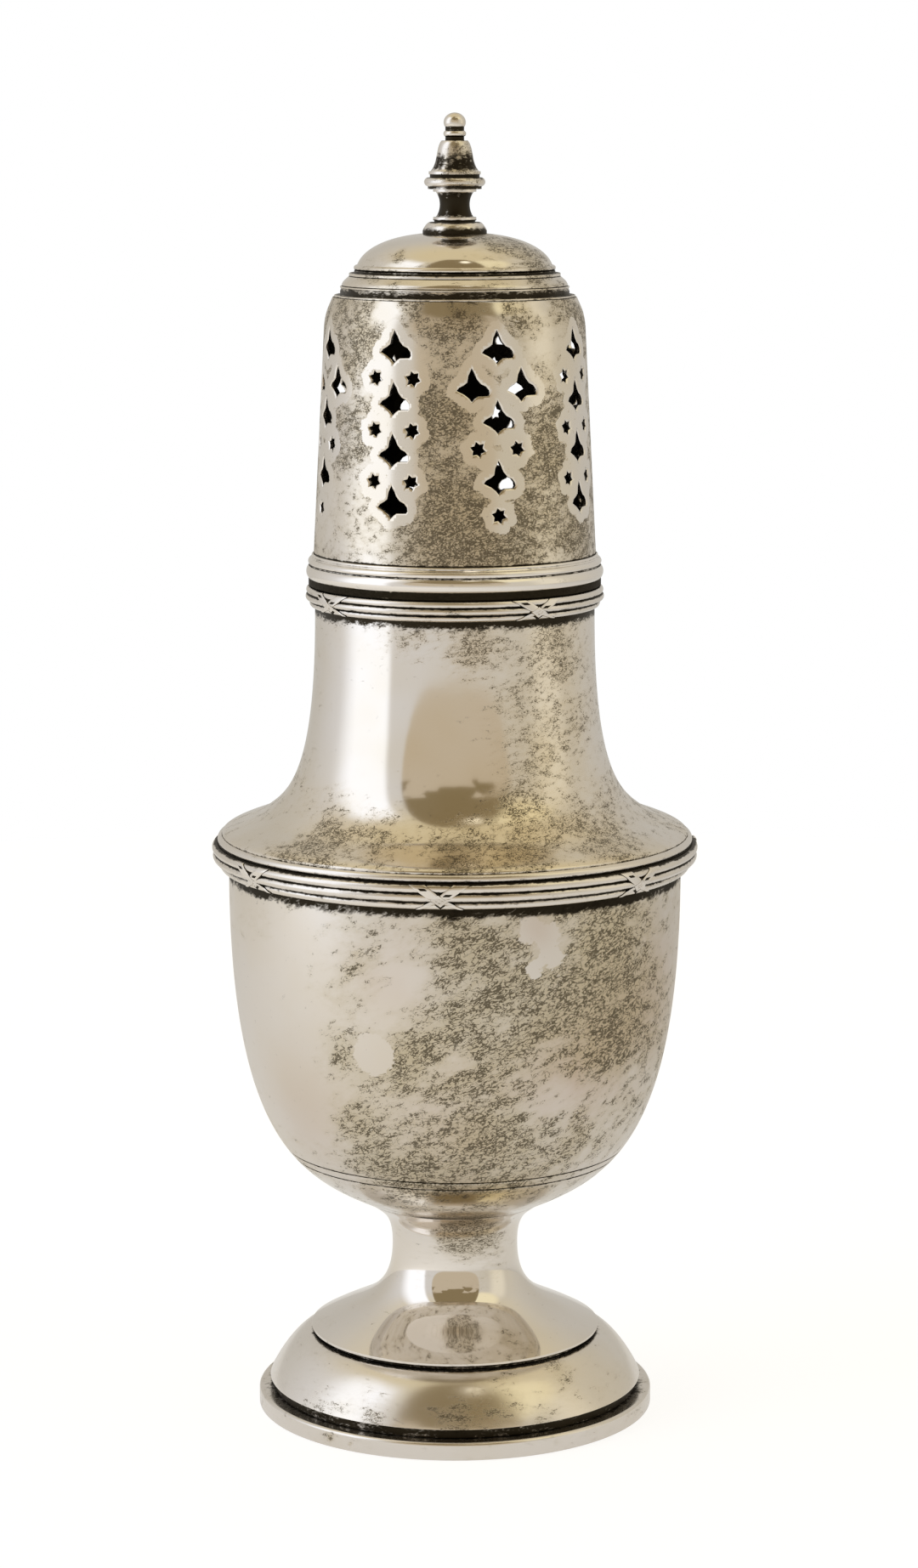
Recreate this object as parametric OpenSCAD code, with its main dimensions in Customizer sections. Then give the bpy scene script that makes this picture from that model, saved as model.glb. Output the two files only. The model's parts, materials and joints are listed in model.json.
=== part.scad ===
// A footed sugar caster in silver: an urn on a trumpet foot, closed by a pierced cover that lifts off.
// Lengths are millimetres and +Z is up. The origin is the centre of the foot's underside. -Y is the front.

/* [Sheet and joints] */
// Thickness of the spun and rolled sheet
sheet = 0.8; // [0.6:0.05:1]
// Gap that solder fills between two joined pieces
solder_gap = 0.02; // [0.01:0.01:0.05]
// Radial gap between the cover's slip collar and the bore of the neck
slip_gap = 0.06; // [0.02:0.01:0.1]

/* [Foot] */
// Outer radius of the foot rim
foot_r = 27.4; // [25:0.1:32]
// Height of the foot rim
foot_rim_h = 2.4; // [1.8:0.1:3.5]
// Width of the foot rim's section
foot_rim_w = 3; // [2.6:0.1:4]
// Flat ledge of the foot rim outside the domed base
foot_ledge = 1.55; // [1.2:0.05:1.8]
// Height of the hollow between the foot rim and the dome
foot_hollow_h = 1.2; // [0.8:0.1:2]
// Depth of that hollow under the edge of the dome
foot_hollow_d = 0.55; // [0.3:0.05:0.7]
// Height of the domed base, from the foot rim to the disc above it
foot_base_h = 8.2; // [7:0.1:11]
// Radius of the disc at the bottom of the stem
disc_r = 20; // [18:0.1:21.5]
// Thickness of the disc's lip
disc_lip = 0.45; // [0.3:0.05:0.8]
// Overhang of the lip beyond the base's top
disc_overhang = 0.8; // [0.5:0.05:1.2]
// Height of the dark step under the lip
disc_step_h = 0.45; // [0.3:0.05:0.8]

/* [Stem] */
// Height of the stem, from the underside of its disc to the bowl
stem_h = 18.5; // [16:0.1:24]
// Radius of the stem at its waist
waist_r = 8.7; // [7.5:0.1:10]
// Height of the waist over the underside of the disc
waist_h = 12.1; // [11:0.1:13.5]
// Rise of the trumpet flare over the disc's edge
flare_h = 3.7; // [2.5:0.1:5]
// Radius where the stem meets the bowl
stem_top_r = 12.4; // [11:0.1:14]

/* [Bowl] */
// Largest radius of the bowl
bowl_r = 31; // [29:0.1:35]
// Height of the bowl over the top of the stem
bowl_h = 50.9; // [46:0.1:60]
// Height of the straight band at the bowl's top
bowl_band_h = 5; // [4.5:0.1:8]
// Depth of the bowl's bottom below the top of the stem
bowl_bottom_d = 2.9; // [2:0.1:4]

/* [Girdle] */
// Radius of one reed of the girdle
girdle_reed_r = 0.62; // [0.58:0.01:0.68]
// Height between the girdle's reeds
girdle_pitch = 1.14; // [1.06:0.01:1.2]
// Drop from the bowl's top edge to the middle of the girdle
girdle_drop = 1.65; // [1.5:0.05:2]
// How far the girdle stands out from the bowl
girdle_proud = 2.3; // [2:0.05:2.6]
// Number of crossed ribbons on the girdle
girdle_ties = 7; // [4:1:9]
// Turn of the first ribbon of the girdle from the front
girdle_tie_turn = -3.5; // [-25:0.5:25]

/* [Neck] */
// Outer radius of the neck
neck_r = 19; // [17.5:0.1:21]
// Height of the neck and shoulder over the bowl
neck_h = 34.9; // [31:0.1:42]
// Height of the straight stretch at the top of the neck
neck_straight_h = 3.4; // [3.2:0.1:5]
// Lap of the shoulder's edge over the bowl
shoulder_lap = 0.9; // [0.7:0.05:1.1]
// Height of the shoulder's edge
shoulder_edge_h = 0.9; // [0.7:0.05:1.2]
// Radius of one reed of the neck band
neck_reed_r = 0.5; // [0.46:0.01:0.54]
// Height between the neck band's reeds
neck_pitch = 0.9; // [0.86:0.01:0.96]
// How far the neck band stands out from the neck
neck_proud = 1.27; // [1.15:0.01:1.4]
// Number of crossed ribbons on the neck band
neck_ties = 4; // [3:1:6]
// Turn of the first ribbon of the neck band from the front
neck_tie_turn = 33.5; // [0:0.5:60]
// Height of the ring round the mouth
mouth_ring_h = 1; // [0.6:0.05:1.4]
// How far the ring round the mouth stands out from the neck
mouth_ring_proud = 0.85; // [0.5:0.05:1]

/* [Ribbon ties] */
// Width of a crossed ribbon at its upper ends
tie_w = 7.9; // [7:0.1:8.5]
// Width of a crossed ribbon at its lower ends
tie_foot_w = 6.2; // [5.4:0.1:6.8]
// Level width of the ribbon at its upper end
ribbon_w = 2.1; // [1.7:0.1:2.3]
// Level width of the ribbon where two cross
ribbon_cross_w = 1.9; // [1.5:0.1:2.2]
// Level width of the ribbon's lower tip
ribbon_tip_w = 0.7; // [0.4:0.05:1]
// Share of a tie's height from its upper ends down to the crossing
tie_cross = 0.63; // [0.58:0.01:0.68]
// How far the ribbons stand out from the reeds
ribbon_proud = 0.2; // [0.1:0.05:0.3]

/* [Cover] */
// Overhang of the cover's foot beyond the neck
cover_overhang = 0.3; // [0.2:0.05:0.5]
// Height of the pierced sleeve
sleeve_h = 37.7; // [35:0.1:46]
// Loss of radius up the sleeve's straight side
sleeve_taper = 1.7; // [0.8:0.1:2.5]
// Height of the rounded shoulder of the sleeve
sleeve_shoulder_h = 4.4; // [3.5:0.1:5]
// Width of the rounded shoulder of the sleeve
sleeve_shoulder_w = 1.2; // [0.8:0.05:1.6]
// Height of the moulding round the cover's foot
rim_h = 3.25; // [2.9:0.05:4]
// How far the moulding stands out from the sleeve
rim_proud = 0.85; // [0.6:0.05:1.1]
// Depth of the slip collar inside the neck
collar_h = 9; // [6:0.5:14]
// Height of the slip collar's joint inside the sleeve
collar_lap = 4; // [2:0.5:6]
// Thickness of the slip collar
collar_t = 0.6; // [0.4:0.05:0.8]

/* [Piercing] */
// Turn of the first pierced column from the front
column_turn = 18.3; // [-20:0.1:20]
// Width of a pierced fleur
fleur_w = 4.4; // [3.6:0.1:4.8]
// Height of a pierced fleur
fleur_h = 4.4; // [3.8:0.1:4.6]
// Radius of a pierced star
star_r = 1.05; // [0.8:0.05:1.15]
// Drop from the sleeve's top to the first row of fleurs
pierce_drop = 5.8; // [5.5:0.1:7]
// Half the spread of the paired fleurs
fleur_spread = 3.45; // [3.3:0.05:3.7]
// Half the spread of the paired stars
star_spread = 2.75; // [2.6:0.05:3]

/* [Crown] */
// Height of the crown over the sleeve
crown_h = 8.4; // [7:0.1:11]
// Height of the crown's stepped band
crown_step_h = 3.2; // [2.9:0.1:3.5]
// Width of the crown's stepped band
crown_step_w = 2; // [1.8:0.05:2.3]
// Width of the groove between the band and the dome
crown_groove_w = 1.1; // [0.9:0.05:1.2]

/* [Finial] */
// Radius of the finial's flange on the crown
flange_r = 4.3; // [3.6:0.1:5]
// Height of the flange and its fillet
flange_h = 2.2; // [1.9:0.1:2.7]
// Radius of the spool over the flange
spool_r = 1.82; // [1.4:0.02:2.2]
// Height of the spool
spool_h = 3.35; // [2.8:0.1:4.5]
// Radius of the large ring
ring_r = 4.1; // [3.8:0.05:4.6]
// Height of the large ring with its fillets
ring_h = 2.3; // [2:0.1:2.8]
// Radius of the bell's lower edge
bell_r = 3.48; // [3.2:0.02:3.6]
// Height of the bell
bell_h = 4.45; // [4:0.05:5.5]
// Radius of the small bead under the knob
bead_r = 1.52; // [1.4:0.02:1.7]
// Height of the bead with the necks above and below it
bead_h = 1.85; // [1.6:0.05:2.2]
// Radius of the knob
knob_r = 1.48; // [1.4:0.02:1.7]
// Height of the knob
knob_h = 1.85; // [1.6:0.05:2.4]
// Radius of the peg that holds the finial in the crown
peg_r = 1; // [0.7:0.05:1.3]
// Length of the peg below the crown's top
peg_h = 1.6; // [1.3:0.1:2.2]

/* [Hidden] */
$fn = 96;
silver = [0.80, 0.77, 0.70];
tarnish = [0.62, 0.58, 0.48];

// Heights, stacked from the foot up
disc_z = foot_rim_h + foot_base_h;
lip_z = disc_z + disc_lip;
stem_z = disc_z + stem_h;
bowl_z = stem_z + bowl_h;
neck_z = bowl_z + neck_h;
cover_z = neck_z + mouth_ring_h;
sleeve_z = cover_z + sleeve_h;
crown_z = sleeve_z + crown_h;

// Radii that follow from their neighbours
dome_r = foot_r - foot_ledge;
hollow_r = dome_r - foot_hollow_d;
base_top_r = disc_r - disc_overhang;
base_bore_r = base_top_r - sheet;
shoulder_r = bowl_r + shoulder_lap;
neck_bore_r = neck_r - sheet;
collar_r = neck_bore_r - slip_gap;
sleeve_r = neck_r + cover_overhang;
sleeve_side_h = sleeve_h - sleeve_shoulder_h;
sleeve_slope = sleeve_taper / sleeve_side_h;
sleeve_top_r = sleeve_r - sleeve_taper - sleeve_shoulder_w;
sleeve_lip_r = sleeve_top_r - sheet;
crown_inset = 0.2;
crown_r = sleeve_top_r - crown_inset;

function sleeve_out(z) = sleeve_r - sleeve_slope * (z - cover_z);
function sleeve_bore(z) = sleeve_out(z) - sheet * sqrt(1 + sleeve_slope * sleeve_slope);

// A cubic curve from a to d, drawn towards b and c. It leaves out d, where the next stretch starts
function curve(a, b, c, d, n = 14) = [
    for (i = [0:n - 1])
        let (t = i / n, s = 1 - t)
        s * s * s * a + 3 * s * s * t * b + 3 * s * t * t * c + t * t * t * d
];

// A round stretch about centre c, from one angle to another
function arc(c, r, from, to, n = 6) = [
    for (i = [0:n])
        let (angle = from + (to - from) * i / n)
        c + r * [cos(angle), sin(angle)]
];

// The line that runs beside an outline, on the side of the axis, at the distance t
function beside(line, t) = [
    for (i = [0:len(line) - 1])
        let (a = line[max(i - 1, 0)], b = line[min(i + 1, len(line) - 1)], along = (b - a) / norm(b - a))
        [max(0, line[i][0] - t * along[1]), line[i][1] + t * along[0]]
];

function backwards(line) = [for (i = [len(line) - 1:-1:0]) line[i]];

function between(a, b, share) = a + (b - a) * share;

// Mouldings of a turned outline, from the bottom up: a square edge and a half-round one
function square_edge(r, z, h) = [[r, z], [r, z + h]];
function round_edge(r, z, h) = arc([r - h / 2, z + h / 2], h / 2, -75, 75);

// Foot rim: a solid drawn wire with a rounded upper edge
module foot_rim() {
    edge = 0.45;
    arris = 0.2;
    color(silver)
    rotate_extrude()
    polygon(concat(
        [[foot_r - foot_rim_w, 0], [foot_r - arris, 0], [foot_r, arris]],
        arc([foot_r - edge, foot_rim_h - edge], edge, 0, 90),
        [[foot_r - foot_rim_w, foot_rim_h]]
    ));
}

// Foot base: a spun dome with a hollow under its edge and a narrow step under the disc
module foot_base() {
    dome_z = foot_rim_h + foot_hollow_h;
    step_z = disc_z - disc_step_h;
    dome_edge_h = 0.15;
    dome_pull = 0.25;
    dome_fullness = 0.51;
    dome_foot = [dome_r, dome_z + dome_edge_h];
    dome_top = [base_top_r + disc_overhang / 2, step_z];
    shoulder = [between(base_top_r, dome_r, dome_fullness), step_z + dome_pull];
    dome = concat(curve(dome_foot, dome_foot + [0, dome_pull], shoulder, dome_top), [dome_top]);
    inside = [for (p = beside(dome, sheet)) if (p[0] < hollow_r - sheet && p[0] > base_bore_r) p];
    color(silver)
    rotate_extrude()
    polygon(concat(
        [[hollow_r - sheet, foot_rim_h], [hollow_r, foot_rim_h], [hollow_r, dome_z]],
        dome,
        square_edge(base_top_r, step_z, disc_step_h),
        [[base_bore_r, disc_z], [base_bore_r, step_z - sheet]],
        backwards(inside),
        [[hollow_r - sheet, dome_z]]
    ));
}

// Outline of the bowl, from the axis up: a round bottom, a full side and a straight band
bowl_pull = [8.6, 4.3];
bowl_turn_h = 7.4;
bowl_foot = [stem_top_r, stem_z];
bowl_bottom = curve([0, stem_z - bowl_bottom_d], [stem_top_r / 3, stem_z - bowl_bottom_d],
                    bowl_foot - bowl_pull / 2, bowl_foot);
bowl_side = curve(bowl_foot, bowl_foot + bowl_pull, [bowl_r, stem_z + bowl_turn_h],
                  [bowl_r, bowl_z - bowl_band_h], 28);
bowl_line = concat(bowl_bottom, bowl_side, square_edge(bowl_r, bowl_z - bowl_band_h, bowl_band_h));

// Stem: a spun trumpet with a thin-lipped disc, shaped at the top to the bowl's round bottom
module foot_stem() {
    waist_z = disc_z + waist_h;
    lip_edge = 0.15;
    seat_lap = 0.2;
    seat_w = disc_overhang + sheet + seat_lap;
    flare_fullness = 0.42;
    throat_h = 2;
    throat_pull = [2, 1.6];
    solder_h = 2.4;
    line = concat(
        curve([disc_r, lip_z], [between(waist_r, disc_r, flare_fullness), lip_z + flare_h],
              [waist_r, lip_z + flare_h], [waist_r, waist_z], 20),
        curve([waist_r, waist_z], [waist_r, stem_z - throat_h], bowl_foot - throat_pull, bowl_foot)
    );
    seat = [for (p = backwards(bowl_bottom)) if (p[0] > waist_r) p - [0, solder_gap]];
    inside = [for (p = beside(line, sheet)) if (p[0] < disc_r - seat_w && p[1] < stem_z - solder_h) p];
    color(silver)
    rotate_extrude()
    polygon(concat(
        [[disc_r - seat_w, disc_z], [disc_r - lip_edge, disc_z], [disc_r, disc_z + lip_edge]],
        line,
        [bowl_foot - [0, solder_gap]],
        seat,
        backwards(inside)
    ));
}

// Bowl: raised from one disc of sheet
module bowl() {
    color(silver)
    rotate_extrude()
    polygon(concat(bowl_line, backwards(beside(bowl_line, sheet))));
}

// Neck and shoulder: spun in one piece, with an edge that laps the top of the bowl
module neck_shell() {
    hip_share = 0.58;
    hip_h = 3.8;
    hip_pull = [1.75, -1.3];
    throat_pull = [-3.1, 2.3];
    throat_h = 8.8;
    edge_pull = [-0.4, 0.85];
    edge = [shoulder_r, bowl_z + shoulder_edge_h];
    hip = [between(neck_r, bowl_r, hip_share), bowl_z + hip_h];
    straight = square_edge(neck_r, neck_z - neck_straight_h, neck_straight_h);
    line = concat(
        curve(edge, edge + edge_pull, hip + hip_pull, hip),
        curve(hip, hip + throat_pull, [neck_r, bowl_z + throat_h], straight[0], 24),
        straight
    );
    inside = [for (p = beside(line, sheet)) if (p[0] < bowl_r - sheet) p];
    color(silver)
    rotate_extrude()
    polygon(concat(
        [[bowl_r - sheet, bowl_z], [shoulder_r, bowl_z]],
        line,
        backwards(inside)
    ));
}

// Section of a reeded wire: round reeds, given by their centres from the top down, on a flat back
module reeds(centres, r, back_r, top_z) {
    foot = centres[len(centres) - 1];
    polygon(concat([[back_r, foot[1] - r / 2], [back_r, top_z]], centres));
    intersection() {
        for (c = centres)
            translate(c)
            circle(r);
        translate([back_r, foot[1] - 2 * r])
        square(len(centres) * 4 * r);
    }
}

// One crossed tie, seen from outside: two flat ribbons that cross below the middle and end in splayed tails
module tie_outline(low_z, high_z) {
    top_x = (tie_w - ribbon_w) / 2;
    foot_x = (tie_foot_w - ribbon_tip_w) / 2;
    cross_z = between(high_z, low_z, tie_cross);
    for (side = [-1, 1])
        polygon([
            [side * top_x - ribbon_w / 2, high_z],
            [side * top_x + ribbon_w / 2, high_z],
            [ribbon_cross_w / 2, cross_z],
            [-side * foot_x + ribbon_tip_w / 2, low_z],
            [-side * foot_x - ribbon_tip_w / 2, low_z],
            [-ribbon_cross_w / 2, cross_z]
        ]);
}

// Crossed ties round a reeded wire, lying on the tops of its reeds and wrapped over the outer two
module ties(count, turn, centres, r, back_r) {
    head = centres[0];
    foot = centres[len(centres) - 1];
    skin = r + ribbon_proud;
    wrap = 60;
    root = 0.1;
    root_r = back_r + root;
    intersection() {
        rotate_extrude()
        polygon(concat(
            [[root_r, foot[1] - r / 2], [root_r, head[1]]],
            arc(head, skin, wrap, 0),
            [for (i = [1:len(centres) - 2]) centres[i] + [skin, 0]],
            arc(foot, skin, 0, -wrap)
        ));
        for (i = [0:count - 1])
            rotate([90, 0, turn + 360 / count * i])
            linear_extrude(centres[1][0] + 2 * skin)
            tie_outline(foot[1] - r, head[1] + r);
    }
}

// Girdle: a reeded wire over the joint of bowl and shoulder, with ribbon ties on its three lower reeds
module girdle_reeding() {
    insets = [0.75, 0, 0.1, 1.05];
    last = len(insets) - 1;
    out_r = bowl_r + girdle_proud - girdle_reed_r;
    back_r = bowl_r + solder_gap;
    top_z = bowl_z - girdle_drop + girdle_pitch * last / 2;
    centres = [for (i = [0:last]) [out_r - insets[i], top_z - girdle_pitch * i]];
    tied = [for (i = [1:last]) centres[i]];
    color(silver)
    difference() {
        union() {
            rotate_extrude()
            reeds(centres, girdle_reed_r, back_r, bowl_z);
            ties(girdle_ties, girdle_tie_turn, tied, girdle_reed_r, back_r);
        }
        translate([0, 0, bowl_z])
        cylinder(h = girdle_pitch + 2 * girdle_reed_r, r = shoulder_r + solder_gap);
    }
}

// Neck band: a narrower reeded wire with its own ties, round the top of the neck
module neck_reeding() {
    insets = [0.1, 0, 0.55];
    last = len(insets) - 1;
    drop = 0.15;
    out_r = neck_r + neck_proud - neck_reed_r;
    back_r = neck_r + solder_gap;
    top_z = neck_z - drop - neck_reed_r;
    centres = [for (i = [0:last]) [out_r - insets[i], top_z - neck_pitch * i]];
    color(silver)
    union() {
        rotate_extrude()
        reeds(centres, neck_reed_r, back_r, top_z + neck_reed_r / 2);
        ties(neck_ties, neck_tie_turn, centres, neck_reed_r, back_r);
    }
}

// Mouth ring: a flat wire on the neck's edge, on which the cover rests
module mouth_ring() {
    color(tarnish)
    rotate_extrude()
    translate([neck_bore_r, neck_z])
    square([sheet + mouth_ring_proud, mouth_ring_h]);
}

// Slip collar: a plain tube inside the cover that slides in the neck
module slip_collar() {
    top_z = cover_z + collar_lap;
    lead = 0.2;
    color(tarnish)
    rotate_extrude()
    polygon([
        [collar_r - collar_t, cover_z - collar_h],
        [collar_r - lead, cover_z - collar_h],
        [collar_r, cover_z - collar_h + lead],
        [collar_r, cover_z],
        [sleeve_bore(cover_z) - solder_gap, cover_z],
        [sleeve_bore(top_z) - solder_gap, top_z],
        [sleeve_bore(top_z) - solder_gap - collar_t, top_z],
        [collar_r - collar_t, cover_z]
    ]);
}

// Cover rim: a drawn moulding round the cover's foot. A swelling, then a reed, then a fine fillet at the top
module cover_rim() {
    reed_r = 0.48;
    fillet_r = 0.23;
    groove_h = 0.08;
    back_w = 1;
    reed_out = sleeve_r + 0.7 * rim_proud;
    groove_out = sleeve_r + 0.4 * rim_proud;
    fillet_out = sleeve_r + 0.15 * rim_proud;
    band_h = rim_h - 2 * (reed_r + fillet_r + groove_h);
    reed_z = cover_z + band_h + groove_h + reed_r;
    top_z = cover_z + rim_h;
    swell_r = 0.75 * band_h;
    color(silver)
    rotate_extrude()
    difference() {
        union() {
            intersection() {
                translate([sleeve_r + rim_proud - swell_r, cover_z + band_h / 2])
                circle(swell_r);
                translate([sleeve_r - back_w, cover_z])
                square([rim_proud + back_w, band_h]);
            }
            translate([sleeve_r - back_w, cover_z])
            square([groove_out - sleeve_r + back_w, reed_z - cover_z]);
            translate([sleeve_r - back_w, reed_z])
            square([back_w, top_z - fillet_r - reed_z]);
            translate([reed_out - reed_r, reed_z])
            circle(reed_r);
            translate([fillet_out - fillet_r, top_z - fillet_r])
            circle(fillet_r);
        }
        polygon([
            [sleeve_r - 2 * back_w, cover_z - rim_h],
            [sleeve_out(cover_z - rim_h) + solder_gap, cover_z - rim_h],
            [sleeve_out(top_z + rim_h) + solder_gap, top_z + rim_h],
            [sleeve_r - 2 * back_w, top_z + rim_h]
        ]);
    }
}

// Outline of one fleur, as shares of its width and height: a spire, a pointed wing and a blunt one
fleur_points = [
    [0, 0.5], [0.1, 0.3], [0.16, 0.17], [0.28, 0.03], [0.43, -0.04], [0.52, -0.15], [0.54, -0.26],
    [0.5, -0.33], [0.19, -0.34], [0.09, -0.4], [0, -0.5], [-0.09, -0.39], [-0.24, -0.28],
    [-0.36, -0.22], [-0.46, -0.17], [-0.39, -0.08], [-0.24, 0], [-0.14, 0.08], [-0.1, 0.28]
];

module fleur() {
    polygon([for (p = fleur_points) [p[0] * fleur_w, p[1] * fleur_h]]);
}

module star() {
    points = 6;
    waist = 0.62;
    tilt = 15;
    polygon([
        for (i = [0:2 * points - 1])
            let (r = i % 2 == 0 ? star_r : star_r * waist, angle = 180 / points * i - tilt)
            r * [cos(angle), sin(angle)]
    ]);
}

// Wide column: single and paired fleurs, then stars. Drops are counted from the first fleur
module wide_column() {
    fleur_drops = [0, 9.1, 17];
    fleur_pair_drop = 4.9;
    star_pair_drop = 13.3;
    star_drop = 22;
    for (drop = fleur_drops)
        translate([0, -drop])
        fleur();
    for (side = [-1, 1]) {
        translate([side * fleur_spread, -fleur_pair_drop])
        fleur();
        translate([side * star_spread, -star_pair_drop])
        star();
    }
    translate([0, -star_drop])
    star();
}

// Slim column: fleurs one below the other, with a pair of stars between each two
module slim_column() {
    fleur_pitch = 6.75;
    star_rise = 2.6;
    for (i = [0:3])
        translate([0, -i * fleur_pitch])
        fleur();
    for (i = [1:3], side = [-1, 1])
        translate([side * star_spread, star_rise - i * fleur_pitch])
        star();
}

// Pierced sleeve: rolled sheet with a rounded shoulder, sawn through in columns of two kinds by turns
module pierced_sleeve() {
    columns = 8;
    step = 360 / columns;
    side_top = [sleeve_r - sleeve_taper, cover_z + sleeve_side_h];
    side_pull = [-0.1, 2.4];
    top = [sleeve_top_r, sleeve_z];
    top_pull = [0.5, -1.2];
    shoulder = curve(side_top, side_top + side_pull, top + top_pull, top);
    inside = [for (p = beside(shoulder, sheet)) if (p[1] < sleeve_z - sheet && p[0] > sleeve_lip_r) p];
    color(silver)
    rotate([0, 0, column_turn - step / 2])
    difference() {
        rotate_extrude()
        polygon(concat(
            [[sleeve_bore(cover_z), cover_z], [sleeve_r, cover_z]],
            shoulder,
            [top, [sleeve_lip_r, sleeve_z]],
            backwards(inside)
        ));
        for (i = [0:columns - 1])
            rotate([90, 0, step * (i + 0.5)])
            translate([0, sleeve_z - pierce_drop, 0])
            linear_extrude(sleeve_r + sheet)
            if (i % 2 == 0)
                wide_column();
            else
                slim_column();
    }
}

// Crown: a stamped cap. A thin lip, a cove, a fillet, a sloping band with a fine line near its top,
// a groove with a bead over it, then a low dome
module crown() {
    lip_h = 0.3;
    cove_d = 0.8;
    cove_h = 0.95;
    fillet_d = 0.15;
    fillet_h = 0.22;
    line_h = 0.1;
    line_d = 0.1;
    edge_h = 0.35;
    band_pull = [-0.05, 0.5];
    band_top_pull = [0.45, -0.45];
    groove_h = 0.35;
    bead_w = 0.45;
    bead_h = 0.7;
    bead_undercut = 0.05;
    dome_pull = [-0.85, 2.35];
    dome_rise = 0.35;
    dome_inside_w = 3;
    flange_seat = 0.1;
    seat_w = 1.4;
    bore = peg_r + solder_gap;
    fillet_z = sleeve_z + lip_h + cove_h;
    band_foot = [crown_r - cove_d - 1.5 * fillet_d, fillet_z + fillet_h + line_h];
    edge_top = [crown_r - crown_step_w, sleeve_z + crown_step_h];
    band_top = edge_top - [-line_d / 2, edge_h + line_h];
    dome_foot = [edge_top[0] - crown_groove_w, edge_top[1] + groove_h + bead_h];
    dome_top = [flange_r + flange_seat, crown_z];
    line = concat(
        square_edge(crown_r, sleeve_z, lip_h),
        square_edge(crown_r - cove_d, sleeve_z + lip_h, cove_h / 2),
        [[crown_r - cove_d - fillet_d, fillet_z]],
        square_edge(crown_r - cove_d, fillet_z, fillet_h),
        square_edge(band_foot[0] - line_d, fillet_z + fillet_h, line_h),
        curve(band_foot, band_foot + band_pull, band_top + band_top_pull, band_top),
        [band_top],
        square_edge(edge_top[0] - line_d, band_top[1], line_h),
        square_edge(edge_top[0], edge_top[1] - edge_h, edge_h),
        square_edge(dome_foot[0] + bead_w - bead_undercut, edge_top[1], groove_h),
        round_edge(dome_foot[0] + bead_w, edge_top[1] + groove_h, bead_h),
        curve(dome_foot, dome_foot + dome_pull, [2 * flange_r, crown_z - dome_rise], dome_top),
        [dome_top, [bore, crown_z]]
    );
    inside = concat(
        curve([crown_r - seat_w, sleeve_z], [edge_top[0] - bead_w, edge_top[1] - groove_h],
              [dome_foot[0] - dome_inside_w, crown_z - sheet], [flange_r, crown_z - sheet]),
        [[flange_r, crown_z - sheet], [bore, crown_z - sheet]]
    );
    color(silver)
    rotate_extrude()
    polygon(concat(line, backwards(inside)));
}

// Finial: cast and turned, a stack of mouldings with a peg that passes through the crown
module finial() {
    spool_z = crown_z + flange_h;
    ring_z = spool_z + spool_h;
    bell_z = ring_z + ring_h;
    bead_z = bell_z + bell_h;
    knob_z = bead_z + bead_h;
    edge_h = 0.4;
    groove_h = 0.2;
    groove_d = 0.15;
    fillet_r = 2.9;
    fillet_h = 0.45;
    fillet_d = 0.35;
    cushion_pull = 0.5;
    cushion_top = [fillet_r + fillet_d, spool_z - fillet_h - groove_h];
    flange = concat(
        square_edge(flange_r, crown_z, edge_h),
        curve([flange_r, crown_z + edge_h], [flange_r - groove_d, crown_z + 2 * edge_h],
              cushion_top + [cushion_pull, 0], cushion_top),
        [cushion_top],
        square_edge(fillet_r - groove_d, cushion_top[1], groove_h),
        square_edge(fillet_r, spool_z - fillet_h, fillet_h)
    );
    spool_end_r = fillet_r - fillet_d;
    spool_pull = 0.9;
    spool = curve([spool_end_r, spool_z], [spool_r, spool_z + spool_pull],
                  [spool_r, ring_z - spool_pull], [spool_end_r, ring_z]);
    step_h = 0.35;
    step_d = 0.5;
    torus_h = ring_h - 2 * step_h - edge_h;
    ring = concat(
        square_edge(fillet_r, ring_z, step_h),
        square_edge(ring_r - step_d, ring_z + step_h, step_h),
        round_edge(ring_r, ring_z + 2 * step_h, torus_h),
        square_edge(bell_r - groove_d, bell_z - edge_h, edge_h)
    );
    stalk_r = 1.26;
    stalk_h = 0.5;
    bell_edge_d = 0.2;
    bell_waist = [-1.3, 1.4];
    bell_shoulder = [-0.9, -0.85];
    bell_top = [stalk_r + 0.5, bead_z];
    bell = concat(
        square_edge(bell_r, bell_z, edge_h),
        curve([bell_r - bell_edge_d, bell_z + edge_h], [bell_r, bell_z] + bell_waist,
              [bell_r, bead_z] + bell_shoulder, bell_top),
        [bell_top]
    );
    beads = concat(
        square_edge(stalk_r, bead_z, stalk_h),
        round_edge(bead_r, bead_z + stalk_h, bead_h - 2 * stalk_h),
        square_edge(stalk_r, knob_z - stalk_h, stalk_h)
    );
    knob_facets = 7;
    knob_sink = 0.3;
    knob_low_angle = -25;
    knob_high_angle = 85;
    knob = [
        for (i = [0:knob_facets])
            let (angle = between(knob_low_angle, knob_high_angle, i / knob_facets))
            [knob_r * cos(angle), knob_z + knob_h * between(knob_sink, 1, sin(angle))]
    ];
    color(tarnish)
    rotate_extrude()
    polygon(concat(
        [[0, crown_z - peg_h]],
        square_edge(peg_r, crown_z - peg_h, peg_h),
        flange, spool, ring, bell, beads, knob,
        [[0, knob_z + knob_h]]
    ));
}

finial();
crown();
pierced_sleeve();
cover_rim();
slip_collar();
mouth_ring();
neck_reeding();
neck_shell();
girdle_reeding();
bowl();
foot_stem();
foot_base();
foot_rim();
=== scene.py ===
import json
import math

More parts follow.
